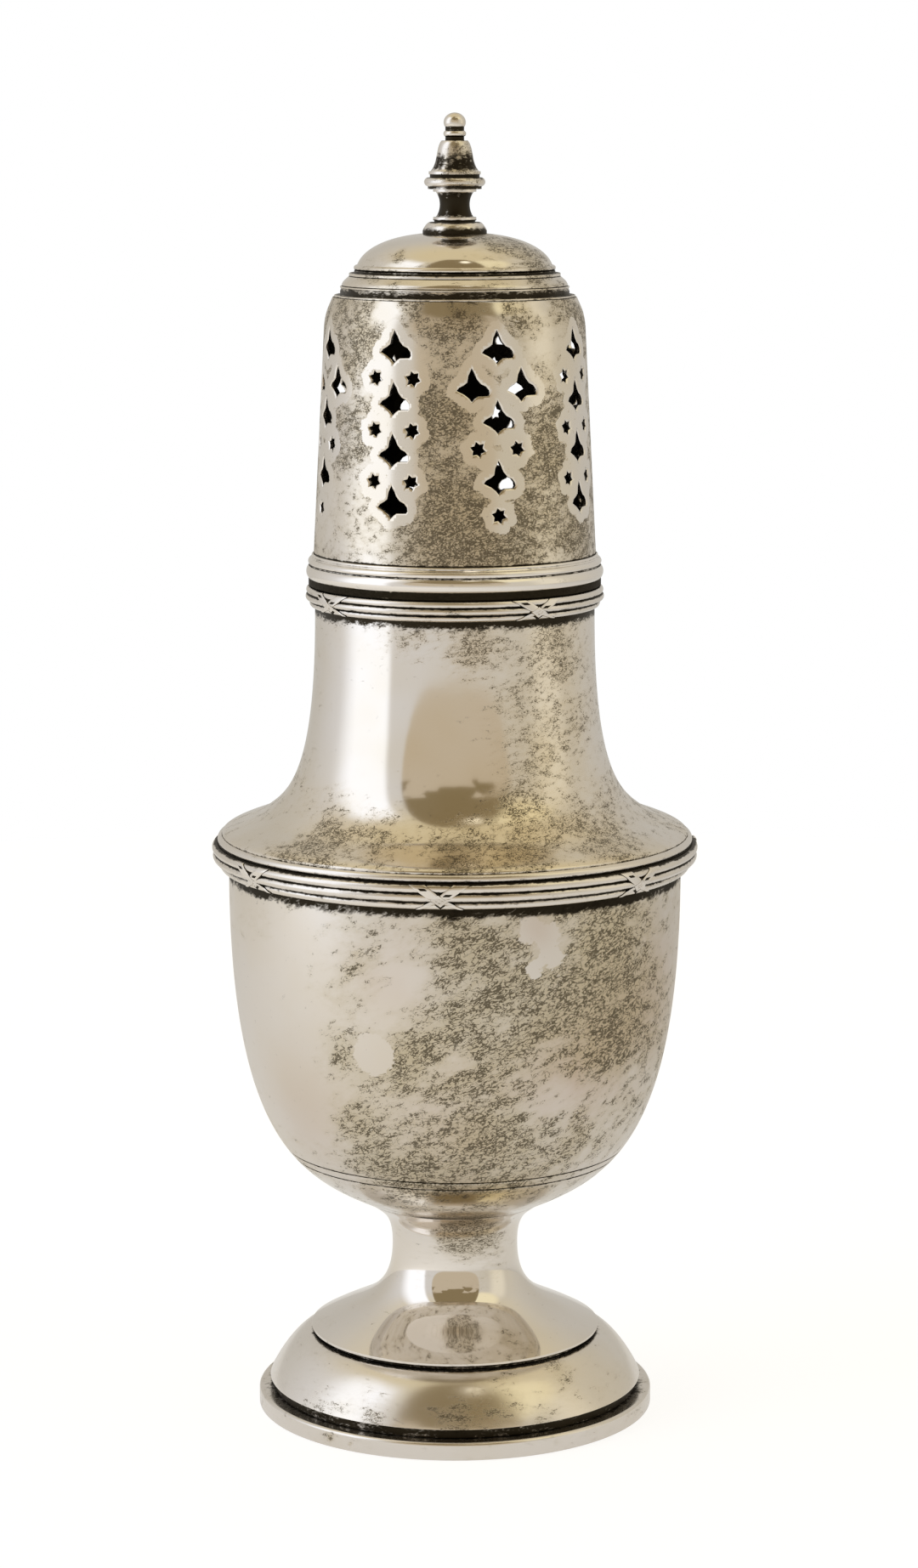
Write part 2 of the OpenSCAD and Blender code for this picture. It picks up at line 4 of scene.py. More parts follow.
import bpy
import numpy as np
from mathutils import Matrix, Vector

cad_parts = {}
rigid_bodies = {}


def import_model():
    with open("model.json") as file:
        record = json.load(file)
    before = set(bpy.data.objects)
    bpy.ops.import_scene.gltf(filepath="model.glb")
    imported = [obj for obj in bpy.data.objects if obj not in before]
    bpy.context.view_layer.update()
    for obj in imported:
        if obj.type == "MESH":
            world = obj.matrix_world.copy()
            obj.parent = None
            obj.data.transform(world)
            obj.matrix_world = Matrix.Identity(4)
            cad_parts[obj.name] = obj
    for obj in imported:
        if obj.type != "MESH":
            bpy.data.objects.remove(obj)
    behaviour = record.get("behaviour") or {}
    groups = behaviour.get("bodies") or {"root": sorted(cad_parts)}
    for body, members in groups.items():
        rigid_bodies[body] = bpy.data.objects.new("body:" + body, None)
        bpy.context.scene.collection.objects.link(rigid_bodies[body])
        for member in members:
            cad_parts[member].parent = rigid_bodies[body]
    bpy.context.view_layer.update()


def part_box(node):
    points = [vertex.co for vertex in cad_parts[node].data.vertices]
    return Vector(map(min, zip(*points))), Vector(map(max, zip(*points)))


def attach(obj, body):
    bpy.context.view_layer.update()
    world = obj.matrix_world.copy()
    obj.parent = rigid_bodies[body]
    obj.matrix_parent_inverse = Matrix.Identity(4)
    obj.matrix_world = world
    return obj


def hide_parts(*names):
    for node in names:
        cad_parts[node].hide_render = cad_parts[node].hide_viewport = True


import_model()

# Foot rim: the solid drawn wire that the caster stands on, of silver, soldered under the domed base.
# Years of polishing have rounded its edges and left the tarnish where the base sits on it.
rim_w = 0.003
rim_edge = 0.00045
arris = 0.00009
facing_in = -0.3

# Outlines of the turned pieces; dirt and painted shade to add to a piece as its name, height, spread and
# strength, which is below 0 where it takes some away, as on rubbed edges; and the pieces that are painted
# dark all over inside, with dirt and painted shade.
outlines = {}
dirt_and_shade_bands = []
dark_inside = []


def at(r, z):
    """A point of an outline: its distance from the axis and its height."""
    return np.array((r, z))


def arc(centre, r, start, end, steps=8):
    """A round stretch of an outline, from one angle to another in degrees."""
    turn = np.radians(np.linspace(start, end, steps + 1))
    return [centre + r * at(math.cos(a), math.sin(a)) for a in turn]


def softened(outline, r):
    """The same closed outline with its sharp corners rounded, as polishing rounds them."""
    sharp = math.radians(25)
    most_of_side = 0.4
    steps = 3
    soft = []
    for i, corner in enumerate(outline):
        back = outline[i - 1] - corner
        ahead = outline[(i + 1) % len(outline)] - corner
        back_length, ahead_length = np.hypot(*back), np.hypot(*ahead)
        turn = math.pi - math.acos(np.clip(back @ ahead / (back_length * ahead_length), -1, 1))
        if turn < sharp or corner[0] == 0:
            soft.append(corner)
            continue
        cut = min(r * math.tan(turn / 2), most_of_side * back_length, most_of_side * ahead_length)
        first = corner + back * cut / back_length
        last = corner + ahead * cut / ahead_length
        for t in np.linspace(0, 1, steps + 1):
            soft.append((1 - t) ** 2 * first + 2 * t * (1 - t) * corner + t * t * last)
    return soft


def refined(outline, longest=0.0007):
    """The same closed outline in stretches that are short enough for tarnish to change along them.
    Where two of its points fall together, one is left out."""
    shortest = 0.000002
    fine = []
    for i, point in enumerate(outline):
        ahead = outline[(i + 1) % len(outline)]
        length = np.hypot(*(ahead - point))
        if length < shortest:
            continue
        on_axis = point[0] == 0 and ahead[0] == 0
        parts = 1 if on_axis else math.ceil(length / longest)
        fine += [point + (ahead - point) * k / parts for k in range(parts)]
    return fine


def chords(line):
    """The way past each point of a closed outline, from the point before it to the one after."""
    return np.roll(line, -1, axis=0) - np.roll(line, 1, axis=0)


def right_of(ways):
    """The direction to the right of each of some ways."""
    return np.stack((ways[:, 1], -ways[:, 0]), axis=1) / np.hypot(*ways.T)[:, None]


def facings(line):
    """The direction that each point of a closed outline faces. The outline runs up the outside."""
    chord = chords(line)
    for k in np.flatnonzero(line[:, 0] == 0):
        chord[k] = at(1, 0) if line[(k + 1) % len(line), 0] > 0 else at(-1, 0)
    return right_of(chord)


def shaped(name, points, faces):
    """A new piece of the scene, from its corner points and its faces."""
    mesh = bpy.data.meshes.new(name)
    mesh.from_pydata(points, [], faces)
    piece = bpy.data.objects.new(name, mesh)
    bpy.context.collection.objects.link(piece)
    return piece


def turned(name, outline, steps=256):
    """A lathe-turned piece: a closed outline swept round the axis, with the first step at the front."""
    line = np.array(outline)
    angle = np.arange(steps) * 2 * math.pi / steps
    round_x, round_y = np.sin(angle), -np.cos(angle)
    points, normals, rings = [], [], []
    for (r, z), (out, up) in zip(line, facings(line)):
        count = steps if r > 0 else 1
        rings.append(len(points) + np.resize(np.arange(count), steps))
        for x, y in zip(round_x[:count], round_y[:count]):
            points.append((r * x, r * y, z))
            normals.append((out * x, out * y, up))
    faces = []
    for k, ring in enumerate(rings):
        above = rings[(k + 1) % len(rings)]
        if line[k, 0] == 0 and line[(k + 1) % len(line), 0] == 0:
            continue
        for corners in zip(ring, np.roll(ring, -1), np.roll(above, -1), above):
            faces.append(tuple(dict.fromkeys(map(int, corners))))
    piece = shaped(name, points, faces)
    piece.data.shade_smooth()
    piece.data.normals_split_custom_set_from_vertices(normals)
    outlines[name] = line
    return piece


def paint(piece, attribute, values):
    """Keeps one number for each corner point of the mesh, for the finish to read."""
    layer = piece.data.attributes.new(attribute, "FLOAT", "POINT")
    layer.data.foreach_set("value", np.asarray(values, np.float32))


def corner_points(piece):
    """Radius, angle from the front and height of each corner point of the mesh."""
    places = np.empty(3 * len(piece.data.vertices))
    piece.data.vertices.foreach_get("co", places)
    x, y, z = places.reshape(-1, 3).T
    return np.hypot(x, y), np.arctan2(x, -y), z


def nearest_on(line, r, z):
    """The outline's point that lies nearest to each place of a turned piece."""
    found = np.empty(len(r), int)
    block = 4096
    for start in range(0, len(r), block):
        part = slice(start, start + block)
        gap = np.hypot(r[part, None] - line[None, :, 0], z[part, None] - line[None, :, 1])
        found[part] = gap.argmin(axis=1)
    return found


def gap_to(points, spot_angle, spot_z):
    """Distance over a turned surface from each of its points to one place, given by angle and height."""
    r, angle, z = points
    aside = (angle - math.radians(spot_angle) + math.pi) % (2 * math.pi) - math.pi
    return np.hypot(r * aside, z - spot_z)


def spotted(piece, spots):
    """Soft spots on a turned piece, by angle, height, spread and strength, summed at each of its points."""
    points = corner_points(piece)
    amount = np.zeros(len(points[0]))
    for spot_angle, spot_z, spread, strength in spots:
        amount += strength * np.exp(-((gap_to(points, spot_angle, spot_z) / spread) ** 2))
    return amount


def tarnish(piece, level, spots=()):
    """How far each place has tarnished: a level all over, and spots by angle, height, spread and strength.
    The inside of a hollow piece, which faces the axis and is never polished, has a level of its own."""
    unpolished = 0.9
    line = outlines[piece.name]
    r, _, z = corner_points(piece)
    amount = level + spotted(piece, spots)
    amount[facings(line)[nearest_on(line, r, z), 0] < facing_in] = unpolished
    paint(piece, "tarnish", amount)


def add(tree, kind, inputs, **settings):
    """A new node, with each input linked to another node's output or set to a value."""
    node = tree.nodes.new(kind)
    for name, value in settings.items():
        setattr(node, name, value)
    for socket, value in inputs.items():
        if isinstance(value, bpy.types.NodeSocket):
            tree.links.new(value, node.inputs[socket])
        else:
            node.inputs[socket].default_value = value
    return node


def reckon(tree, operation, *values):
    """The result of one sum."""
    return add(tree, "ShaderNodeMath", dict(enumerate(values)), operation=operation).outputs[0]


def step(tree, value, low, high):
    """A soft step from 0 to 1 while a value runs from low to high."""
    inputs = {"Value": value, "From Min": low, "From Max": high}
    return add(tree, "ShaderNodeMapRange", inputs, interpolation_type="SMOOTHSTEP").outputs["Result"]


def ramp(tree, value, start, end, first=0.0, last=1.0):
    """A straight run from first to last while a value runs from start to end."""
    inputs = {"Value": value, "From Min": start, "From Max": end, "To Min": first, "To Max": last}
    return add(tree, "ShaderNodeMapRange", inputs).outputs["Result"]


def blend(tree, share, under, over):
    """One colour laid over another. A colour mix takes its share at 0 and its colours at 6 and 7."""
    return add(tree, "ShaderNodeMix", {0: share, 6: under, 7: over}, data_type="RGBA").outputs[2]


def silver(name, warmth=0.3, streaks=2.0, slant=0, fine=1400, specks=0.085, veil=0.5, gloss=0.14, haze=0.12,
           film=(0.47, 0.38, 0.22, 1)):
    """Polished silver under its tarnish: a thin haze all over, a golden to olive film in patches, fine dark
    marks that gather where the film is thick, and near black dirt and painted shade in the hollows. Streaks
    draw the marks out level, or at a slant given in degrees. The piece's mesh says where it is tarnished,
    wiped, rosy, burnished, or dark with dirt and painted shade.
    Each total below has a base and the share of each layer in it."""
    clean = (0.86, 0.81, 0.75, 1)
    gold = (0.74, 0.61, 0.37, 1)
    dull = (0.54, 0.485, 0.42, 1)
    rose = (0.62, 0.49, 0.40, 1)
    speck = (0.11, 0.09, 0.06, 1)
    # near black, for dirt and painted shade
    dirt = (0.034, 0.027, 0.017, 1)
    wiped_edge = (0.42, 0.58)
    film_edge = (0.0, 0.85)
    speck_edge = (0.0, 0.022)
    dirt_and_shade_edge = (0.15, 0.5)
    gold_edge = (0.42, 0.68)
    rose_edge = (0.3, 0.55)
    speck_cover = 0.85
    burnish_share = -0.7
    material = bpy.data.materials.new(name)
    material.use_nodes = True
    tree = material.node_tree
    shader = tree.nodes["Principled BSDF"]
    shader.inputs["Metallic"].default_value = 1.0

    def noise(vector, scale, detail, roughness=0.55, distortion=0.0):
        inputs = {"Vector": vector, "Scale": scale, "Detail": detail, "Roughness": roughness,
                  "Distortion": distortion}
        return add(tree, "ShaderNodeTexNoise", inputs).outputs["Fac"]

    def total(base, *weighed):
        for value, share in weighed:
            base = reckon(tree, "MULTIPLY_ADD", value, share, base)
        return base

    def times(a, b):
        return reckon(tree, "MULTIPLY", a, b)

    def kept(attribute):
        return add(tree, "ShaderNodeAttribute", {}, attribute_name=attribute).outputs["Fac"]

    place = add(tree, "ShaderNodeTexCoord", {}).outputs["Object"]
    drawn = add(tree, "ShaderNodeMapping",
                {"Vector": place, "Rotation": (0, math.radians(-slant), 0), "Scale": (1, 1, 1 / streaks)},
                vector_type="TEXTURE").outputs["Vector"]
    patches = noise(drawn, scale=85, detail=6, roughness=0.66, distortion=0.5)
    mottle = noise(drawn, scale=fine / 3, detail=4, roughness=0.65)
    grain = noise(drawn, scale=fine, detail=3, roughness=0.6, distortion=0.5)
    dust = noise(drawn, scale=5200, detail=2, roughness=0.6)
    warm = noise(place, scale=38, detail=3)
    dents = noise(place, scale=120, detail=2)

    ragged = total(-1.6, (kept("wiped"), 1.0), (mottle, 1.8), (grain, 1.4))
    left_on = reckon(tree, "SUBTRACT", 1.0, step(tree, ragged, *wiped_edge))
    amount = total(-1.1, (kept("tarnish"), 1.0), (patches, 1.4), (mottle, 0.8))
    thick = times(step(tree, amount, *film_edge), left_on)
    off_vein = reckon(tree, "ABSOLUTE", total(-0.5, (grain, 1.0)))
    gather = reckon(tree, "SUBTRACT", total(-0.125, (mottle, 0.2), (thick, specks)), off_vein)
    dots = times(step(tree, gather, *speck_edge), left_on)
    # dirt and painted shade: near black where the mesh marks hollows, grooves and insides
    deep = step(tree, total(-0.7, (kept("dirt"), 1.0), (mottle, 0.6), (grain, 0.8)), *dirt_and_shade_edge)

    colour = blend(tree, times(step(tree, warm, *gold_edge), warmth), clean, gold)
    colour = blend(tree, haze, colour, dull)
    colour = blend(tree, times(step(tree, warm, *rose_edge), kept("blush")), colour, rose)
    colour = blend(tree, times(thick, total(veil / 2, (dust, veil))), colour, film)
    colour = blend(tree, times(dots, speck_cover), colour, speck)
    colour = blend(tree, deep, colour, dirt)
    rough = total(gloss, (kept("burnish"), burnish_share * gloss), (deep, 0.3), (dots, 0.12), (thick, 0.16))
    relief = total(0.0, (dents, 0.35), (dots, -0.05))
    bump = add(tree, "ShaderNodeBump", {"Strength": 0.12, "Distance": 0.0006, "Height": relief})
    tree.links.new(colour, shader.inputs["Base Color"])
    tree.links.new(rough, shader.inputs["Roughness"])
    tree.links.new(bump.outputs["Normal"], shader.inputs["Normal"])
    return material


rim_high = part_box("foot_rim")[1]
foot_r = rim_high.x
rim_top = rim_high.z
rim_outline = [
    at(foot_r - rim_w, 0),
    at(foot_r, 0),
    *arc(at(foot_r - rim_edge, rim_top - rim_edge), rim_edge, 0, 90),
    at(foot_r - rim_w, rim_top),
]
foot_rim = turned("standing_rim", refined(softened(rim_outline, arris), longest=0.0005))
tarnish(foot_rim, 0.05, [(-38, 0.0012, 0.0006, 0.9), (-31, 0.0011, 0.0004, 0.7), (30, 0.0012, 0.0004, 0.6)])
foot_rim.data.materials.append(silver("rim_silver", warmth=0.15, gloss=0.2, haze=0.2))
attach(foot_rim, "vessel")
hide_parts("foot_rim")

# Foot base: a dome spun from sheet silver, with a hollow under its edge and a narrow step under the disc.
# It is soldered to the rim. Dirt and painted shade fill the hollow and creep up over the dome's lower edge.
sheet = 0.0008
hollow_h = 0.0012
hollow_d = 0.00055
step_h = 0.00045
disc_overhang = 0.0008
dome_edge_h = 0.00015
dome_pull = 0.00025
dome_fullness = 0.51


def curve(start, pull, push, end, steps=28):
    """A drawn stretch of an outline, without its end, where the next stretch starts."""
    t = np.arange(steps)[:, None] / steps
    s = 1 - t
    return list(s**3 * start + 3 * s * s * t * pull + 3 * s * t * t * push + t**3 * end)


def beside(line, gap):
    """The line that runs beside an outline, on the side of the axis."""
    line = np.array(line)
    ends = np.vstack((line[:1], line, line[-1:]))
    aside = line - gap * right_of(ends[2:] - ends[:-2])
    aside[:, 0] = aside[:, 0].clip(min=0)
    return list(aside)


base_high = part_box("foot_base")[1]
dome_r = base_high.x
disc_z = base_high.z
disc_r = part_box("foot_stem")[1].x
hollow_r = dome_r - hollow_d
base_top_r = disc_r - disc_overhang
dome_z = rim_top + hollow_h
step_z = disc_z - step_h
dome_foot = at(dome_r, dome_z + dome_edge_h)
dome_top = at(base_top_r + disc_overhang / 2, step_z)
dome_shoulder = at(base_top_r + (dome_r - base_top_r) * dome_fullness, step_z + dome_pull)
dome = [*curve(dome_foot, dome_foot + at(0, dome_pull), dome_shoulder, dome_top), dome_top]
under_dome = [p for p in beside(dome, sheet) if base_top_r - sheet < p[0] < hollow_r - sheet]
base_outline = [
    at(hollow_r - sheet, rim_top),
    at(hollow_r, rim_top),
    at(hollow_r, dome_z),
    *dome,
    at(base_top_r, step_z),
    at(base_top_r, disc_z),
    at(base_top_r - sheet, disc_z),
    at(base_top_r - sheet, step_z - sheet),
    *reversed(under_dome),
    at(hollow_r - sheet, dome_z),
]
foot_base = turned("domed_base", refined(softened(base_outline, arris)))
tarnish(foot_base, 0.0, [
    (0, 0.0048, 0.003, 0.65), (-25, 0.0045, 0.0028, 0.6), (28, 0.0045, 0.0028, 0.5),
    (-48, 0.0045, 0.0025, 0.4), (14, 0.0046, 0.002, 0.4), (40, 0.0088, 0.002, 0.6), (18, 0.0095, 0.003, 0.4),
])
# Painted shade and dirt in the hollow under the dome's edge, and a little less in the step under the disc.
dirt_and_shade_bands += [
    ("domed_base", rim_top + hollow_h / 2, 0.0005, 0.35),
    ("domed_base", step_z + step_h / 2, 0.0004, -0.12),
]
foot_base.data.materials.append(silver("base_silver", warmth=0.35, streaks=3, veil=0.3, gloss=0.2))
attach(foot_base, "vessel")
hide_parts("foot_base")

# Stem: a trumpet spun from sheet silver that ends in a thin-lipped disc on the base.
# Its top is shaped to the round bottom of the bowl and soldered there.
lip_h = 0.00045
lip_edge = 0.00015
waist_r = 0.0087
waist_h = 0.0121
flare_h = 0.0037
flare_fullness = 0.42
throat_h = 0.002
throat_pull = at(0.002, 0.0016)
seat_room = 0.0002
seat_w = disc_overhang + sheet + seat_room
stem_top_r = 0.0124
stem_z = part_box("foot_stem")[1].z
bowl_low, bowl_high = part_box("bowl")
bowl_pull = at(0.0086, 0.0043)
bowl_foot = at(stem_top_r, stem_z)
bowl_bottom = curve(at(0, bowl_low.z), at(stem_top_r / 3, bowl_low.z), bowl_foot - bowl_pull / 2, bowl_foot)
lip_z = disc_z + lip_h
waist = at(waist_r, disc_z + waist_h)
flare = curve(at(disc_r, lip_z), at(waist_r + (disc_r - waist_r) * flare_fullness, lip_z + flare_h),
              at(waist_r, lip_z + flare_h), waist, steps=40)
throat = curve(waist, at(waist_r, stem_z - throat_h), bowl_foot - throat_pull, bowl_foot)
stem_seat = [p for p in reversed(bowl_bottom) if p[0] > waist_r]
stem_bore = [p for p in beside(flare + throat, sheet) if p[0] < disc_r - seat_w and p[1] < stem_seat[-1][1]]
stem_outline = [
    at(disc_r - seat_w, disc_z),
    at(disc_r - lip_edge, disc_z),
    at(disc_r, disc_z + lip_edge),
    *flare,
    *throat,
    bowl_foot,
    *stem_seat,
    *reversed(stem_bore),
]
foot_stem = turned("trumpet_stem", refined(softened(stem_outline, arris / 2)))
tarnish(foot_stem, -0.1, [
    (10, 0.0262, 0.0036, 1.1), (-6, 0.0262, 0.0025, 0.5), (40, 0.025, 0.004, 0.5), (28, 0.0125, 0.002, 0.5),
])
foot_stem.data.materials.append(silver("stem_silver", streaks=3, gloss=0.06))
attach(foot_stem, "vessel")
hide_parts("foot_stem")

# Bowl: the urn's body, raised from one disc of sheet silver and planished smooth, with two fine lines turned
# low on its side. Tarnish has settled over its front and right side, and wiping has left pale patches in it.
bowl_turn_h = 0.0074
bowl_band_h = 0.005
bowl_r = bowl_high.x
bowl_z = bowl_high.z
bowl_lines = (0.0372, 0.0360)
bowl_line_w = 0.00024
bowl_line_d = 0.00016
bowl_line_dirt_and_shade = 0.4
burnished_from = bowl_lines[-1]
burnished_edge = 0.001


def incised(line, heights, width, depth):
    """The same rising line with fine grooves turned in it at some heights."""
    line = np.array(line)
    points = list(line)
    for z in heights:
        for above, drop in ((-width / 2, 0), (0, depth), (width / 2, 0)):
            points.append(at(np.interp(z + above, line[:, 1], line[:, 0]) - drop, z + above))
    return sorted(points, key=lambda point: point[1])


def wiped(piece, patches):
    """Where a cloth has rubbed the tarnish off: patches by angle, height, radius and width of edge."""
    points = corner_points(piece)
    bare = np.zeros(len(points[0]))
    for patch_angle, patch_z, patch_r, edge in patches:
        gap = gap_to(points, patch_angle, patch_z) / patch_r
        bare = np.maximum(bare, ((1 + edge / 2 - gap) / edge).clip(0, 1))
    paint(piece, "wiped", bare)


bowl_side = curve(bowl_foot, bowl_foot + bowl_pull, at(bowl_r, stem_z + bowl_turn_h),
                  at(bowl_r, bowl_z - bowl_band_h), steps=56)
bowl_line = [
    *bowl_bottom,
    *incised(bowl_side, bowl_lines, bowl_line_w, bowl_line_d),
    at(bowl_r, bowl_z - bowl_band_h),
    at(bowl_r, bowl_z),
]
bowl = turned("urn_bowl", refined([*bowl_line, *reversed(beside(bowl_line, sheet))]), steps=320)
tarnish(bowl, 0.28, [
    (6, 0.0714, 0.006, 0.5), (43, 0.0697, 0.007, 0.55), (14, 0.0637, 0.006, 0.3), (27, 0.0606, 0.0065, 0.3),
    (-1, 0.0554, 0.009, 0.25), (33, 0.0645, 0.008, 0.25), (7, 0.0422, 0.009, 0.3), (-26, 0.042, 0.005, 0.3),
    (20, 0.0432, 0.008, 0.3), (-21, 0.0695, 0.003, 0.3), (-29, 0.0553, 0.003, 0.4), (50, 0.0562, 0.005, 0.3),
    (-18, 0.0524, 0.0035, 0.15), (-14, 0.0376, 0.006, 0.3), (-12, 0.0565, 0.003, 0.3),
    (-60, 0.060, 0.014, -0.5), (-48, 0.048, 0.008, -0.35), (-14, 0.0662, 0.0042, -0.5),
    (62, 0.056, 0.008, 0.3), (-40, 0.073, 0.005, -0.2), (27, 0.0492, 0.005, -0.45),
    (42, 0.0475, 0.004, -0.15), (0, 0.0325, 0.003, -0.2), (150, 0.060, 0.016, 0.3),
    (-150, 0.045, 0.014, 0.25), (105, 0.050, 0.010, 0.3), (-4, 0.0625, 0.006, 0.3), (40, 0.056, 0.007, 0.25),
    (-30, 0.047, 0.004, 0.3), (38, 0.043, 0.005, 0.3), (-27, 0.063, 0.003, 0.2), (0, 0.0735, 0.003, 0.25),
])
paint(bowl, "blush", spotted(bowl, [
    (34, 0.051, 0.009, 0.7), (58, 0.060, 0.012, 0.6), (-16, 0.068, 0.006, 0.35), (2, 0.046, 0.009, 0.4),
    (20, 0.073, 0.003, 0.4), (-45, 0.046, 0.008, 0.3),
]))
paint(bowl, "burnish", ((burnished_from - corner_points(bowl)[2]) / burnished_edge).clip(0, 1))
# The two fine lines are painted dark: dirt, and painted shade in their grooves.
dirt_and_shade_bands += [("urn_bowl", z, bowl_line_w / 2, bowl_line_dirt_and_shade) for z in bowl_lines]
wiped(bowl, [
    (19, 0.0728, 0.0018, 0.8), (23, 0.0716, 0.0021, 0.8), (24, 0.0692, 0.0019, 0.8),
    (20, 0.0676, 0.0012, 0.8), (-21, 0.0558, 0.0029, 0.3), (138, 0.054, 0.004, 0.9),
    (147, 0.051, 0.003, 0.9), (-110, 0.066, 0.003, 0.9), (-114, 0.062, 0.002, 0.9),
])
bowl.data.materials.append(silver("bowl_silver", warmth=0.25, slant=24, fine=1150, veil=0.55, gloss=0.28,
                                  haze=0.3, film=(0.50, 0.41, 0.22, 1)))
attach(bowl, "vessel")
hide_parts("bowl")

# Girdle: a drawn wire of four reeds, bent round and soldered over the joint of bowl and shoulder.
# Polish brightens the tops of the reeds, and the grooves between them are painted black, with dirt and
# painted shade.
girdle_reed_r = 0.00062
girdle_pitch = 0.00114
girdle_drop = 0.00165
girdle_proud = 0.00228
girdle_insets = (0.00075, 0, 0.0001, 0.00105)
reed_foot_turn = -150
reed_head_turn = 95
reed_floor = 4
reed_line_w = 0.00016
reed_line_dirt_and_shade = 0.5


def reed_centres(insets, out_r, top_z, pitch):
    """Centres of a wire's reeds, from the top one down."""
    return [at(out_r - inset, top_z - pitch * i) for i, inset in enumerate(insets)]


def reeded(centres, r, back_r, top_z):
    """Outline of a reeded wire, from its lower edge up, with a flat back and a narrow floor between reeds."""
    rising = centres[::-1]
    start = reed_foot_turn
    line = [at(back_r, rising[0][1] - r / 2)]
    for lower, upper in zip(rising, rising[1:]):
        gap = upper - lower
        lean = math.degrees(math.atan2(gap[1], gap[0]))
        open_angle = math.degrees(math.acos(min(1, np.hypot(*gap) / 2 / r))) + reed_floor
        line += arc(lower, r, start, lean - open_angle, steps=10)
        start = lean - 180 + open_angle
    line += arc(rising[-1], r, start, reed_head_turn, steps=12)
    return [*line, at(back_r, top_z)]


def between_reeds(name, centres):
    """Dirt and painted shade in each of the lines between the reeds of a wire."""
    heights = [(upper[1] + lower[1]) / 2 for upper, lower in zip(centres, centres[1:])]
    return [(name, z, reed_line_w, reed_line_dirt_and_shade) for z in heights]


girdle_out = bowl_r + girdle_proud - girdle_reed_r
girdle_top = bowl_z - girdle_drop + girdle_pitch * (len(girdle_insets) - 1) / 2
girdle_centres = reed_centres(girdle_insets, girdle_out, girdle_top, girdle_pitch)
girdle_outline = reeded(girdle_centres, girdle_reed_r, bowl_r, bowl_z)
girdle = turned("girdle_reeds", refined(girdle_outline, longest=0.0004), steps=320)
tarnish(girdle, 0.0)
# Painted shade under the lowest reed, with tarnish: a dark band on the bowl.
dirt_and_shade_bands.append(("urn_bowl", girdle_centres[-1][1] - 2 * girdle_reed_r, 0.0008, 0.5))
dirt_and_shade_bands += between_reeds("girdle_reeds", girdle_centres)
girdle.data.materials.append(silver("reed_silver", warmth=0.15, gloss=0.2, haze=0.2))
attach(girdle, "vessel")
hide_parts("girdle_reeding")

# Girdle ties: crossed ribbons chased in low relief in the silver of the three lower reeds, seven round the
# girdle. Each has two flat ribbons that end in splayed tails, a slanting knot where they cross, and engraved
# dashes.
tie_w = 0.0079
tie_foot_w = 0.0062
tie_cross = 0.63
tie_reach = 0.9
tie_arris = 40
ribbon_w = 0.0021
cross_w = 0.0019
tip_w = 0.0007
ribbon_proud = 0.00017
ribbon_crown = 0.00005
ribbon_wrap = 60
ribbon_depth = 0.0005
ribbon_under = 0.00002
ribbon_steps = (81, 13)
end_lean = 0.01
outline_w = 0.00036
outline_slope = ((1.12, 0.1), (1.75, 0.3), (2.0, 1.0))
# The ribbons' sloping edges are painted dark: dirt, and painted shade where they step down onto the reeds.
outline_dirt_and_shade = 0.75
knot_l = 0.0016
knot_w = 0.0013
knot_proud = 0.00003
knot_steps = (37, 17)
dash_depth = 0.00012
# The engraved dashes and slashes are painted dark.
dash_dark = 0.9
dash_h = 0.0003
dash_share = 0.5
dash_places = (0.25, 0.62)
slash_w = 0.00024
slash_share = 0.45
slash_places = (-0.00026, 0.00026)
girdle_ties = 7
girdle_tie_turn = -3.5


def ribbon_skin(centres, r, proud):
    """Heights over a reeded wire, rising, and the radius at which a ribbon lies on it there."""
    head, foot = centres[0], centres[-1]
    skin = r + proud
    crests = [c + at(skin, 0) for c in centres[-2:0:-1]]
    line = [*arc(foot, skin, -ribbon_wrap, 0), *crests, *arc(head, skin, 0, ribbon_wrap)]
    return np.array(line).T[::-1]


def strip(rows, columns, place, depth):
    """A closed strip of metal. Each row and column has its place on the upper face and its drop as a share of
    depth. Where it drops, round its edge, it is painted dark with dirt and painted shade."""
    verts = []
    for s, drop_s in rows:
        for v, drop_v in columns:
            x, r, z, dirt = place(s, v)
            drop = max(drop_s, drop_v)
            r -= drop * depth
            verts.append((r * math.sin(x / r), -r * math.cos(x / r), z, outline_dirt_and_shade if drop else dirt))
    wide, tall = len(columns), len(rows)
    faces = [
        (i * wide + j, (i + 1) * wide + j, (i + 1) * wide + j + 1, i * wide + j + 1)
        for i in range(tall - 1) for j in range(wide - 1)
    ]
    top_row = list(range(wide))
    right = [i * wide + wide - 1 for i in range(1, tall)]
    bottom_row = [(tall - 1) * wide + j for j in range(wide - 2, -1, -1)]
    left = [i * wide for i in range(tall - 2, 0, -1)]
    return verts, [*faces, top_row + right + bottom_row + left]


def cut_off(steps):
    """Steps along a strip that ends in a straight cut, which leans out a little."""
    places = np.linspace(0, 1, steps)
    return [(-end_lean, 1.0), *[(s, 0.0) for s in places], (1 + end_lean, 1.0)]


def eased(steps):
    """Steps from -1 to 1 across a strip, with an eased edge and a sloping side beyond each end."""
    flat = [(s, 0.0) for s in np.linspace(-1, 1, steps)]
    return [*[(-s, drop) for s, drop in reversed(outline_slope)], *flat, *outline_slope]


def reach(share, half):
    """How far from its middle a place across a strip lies. Beyond 1 it lies in the outline of the strip."""
    return float(np.clip(share, -1, 1) * half + np.sign(share) * max(abs(share) - 1, 0) * outline_w)


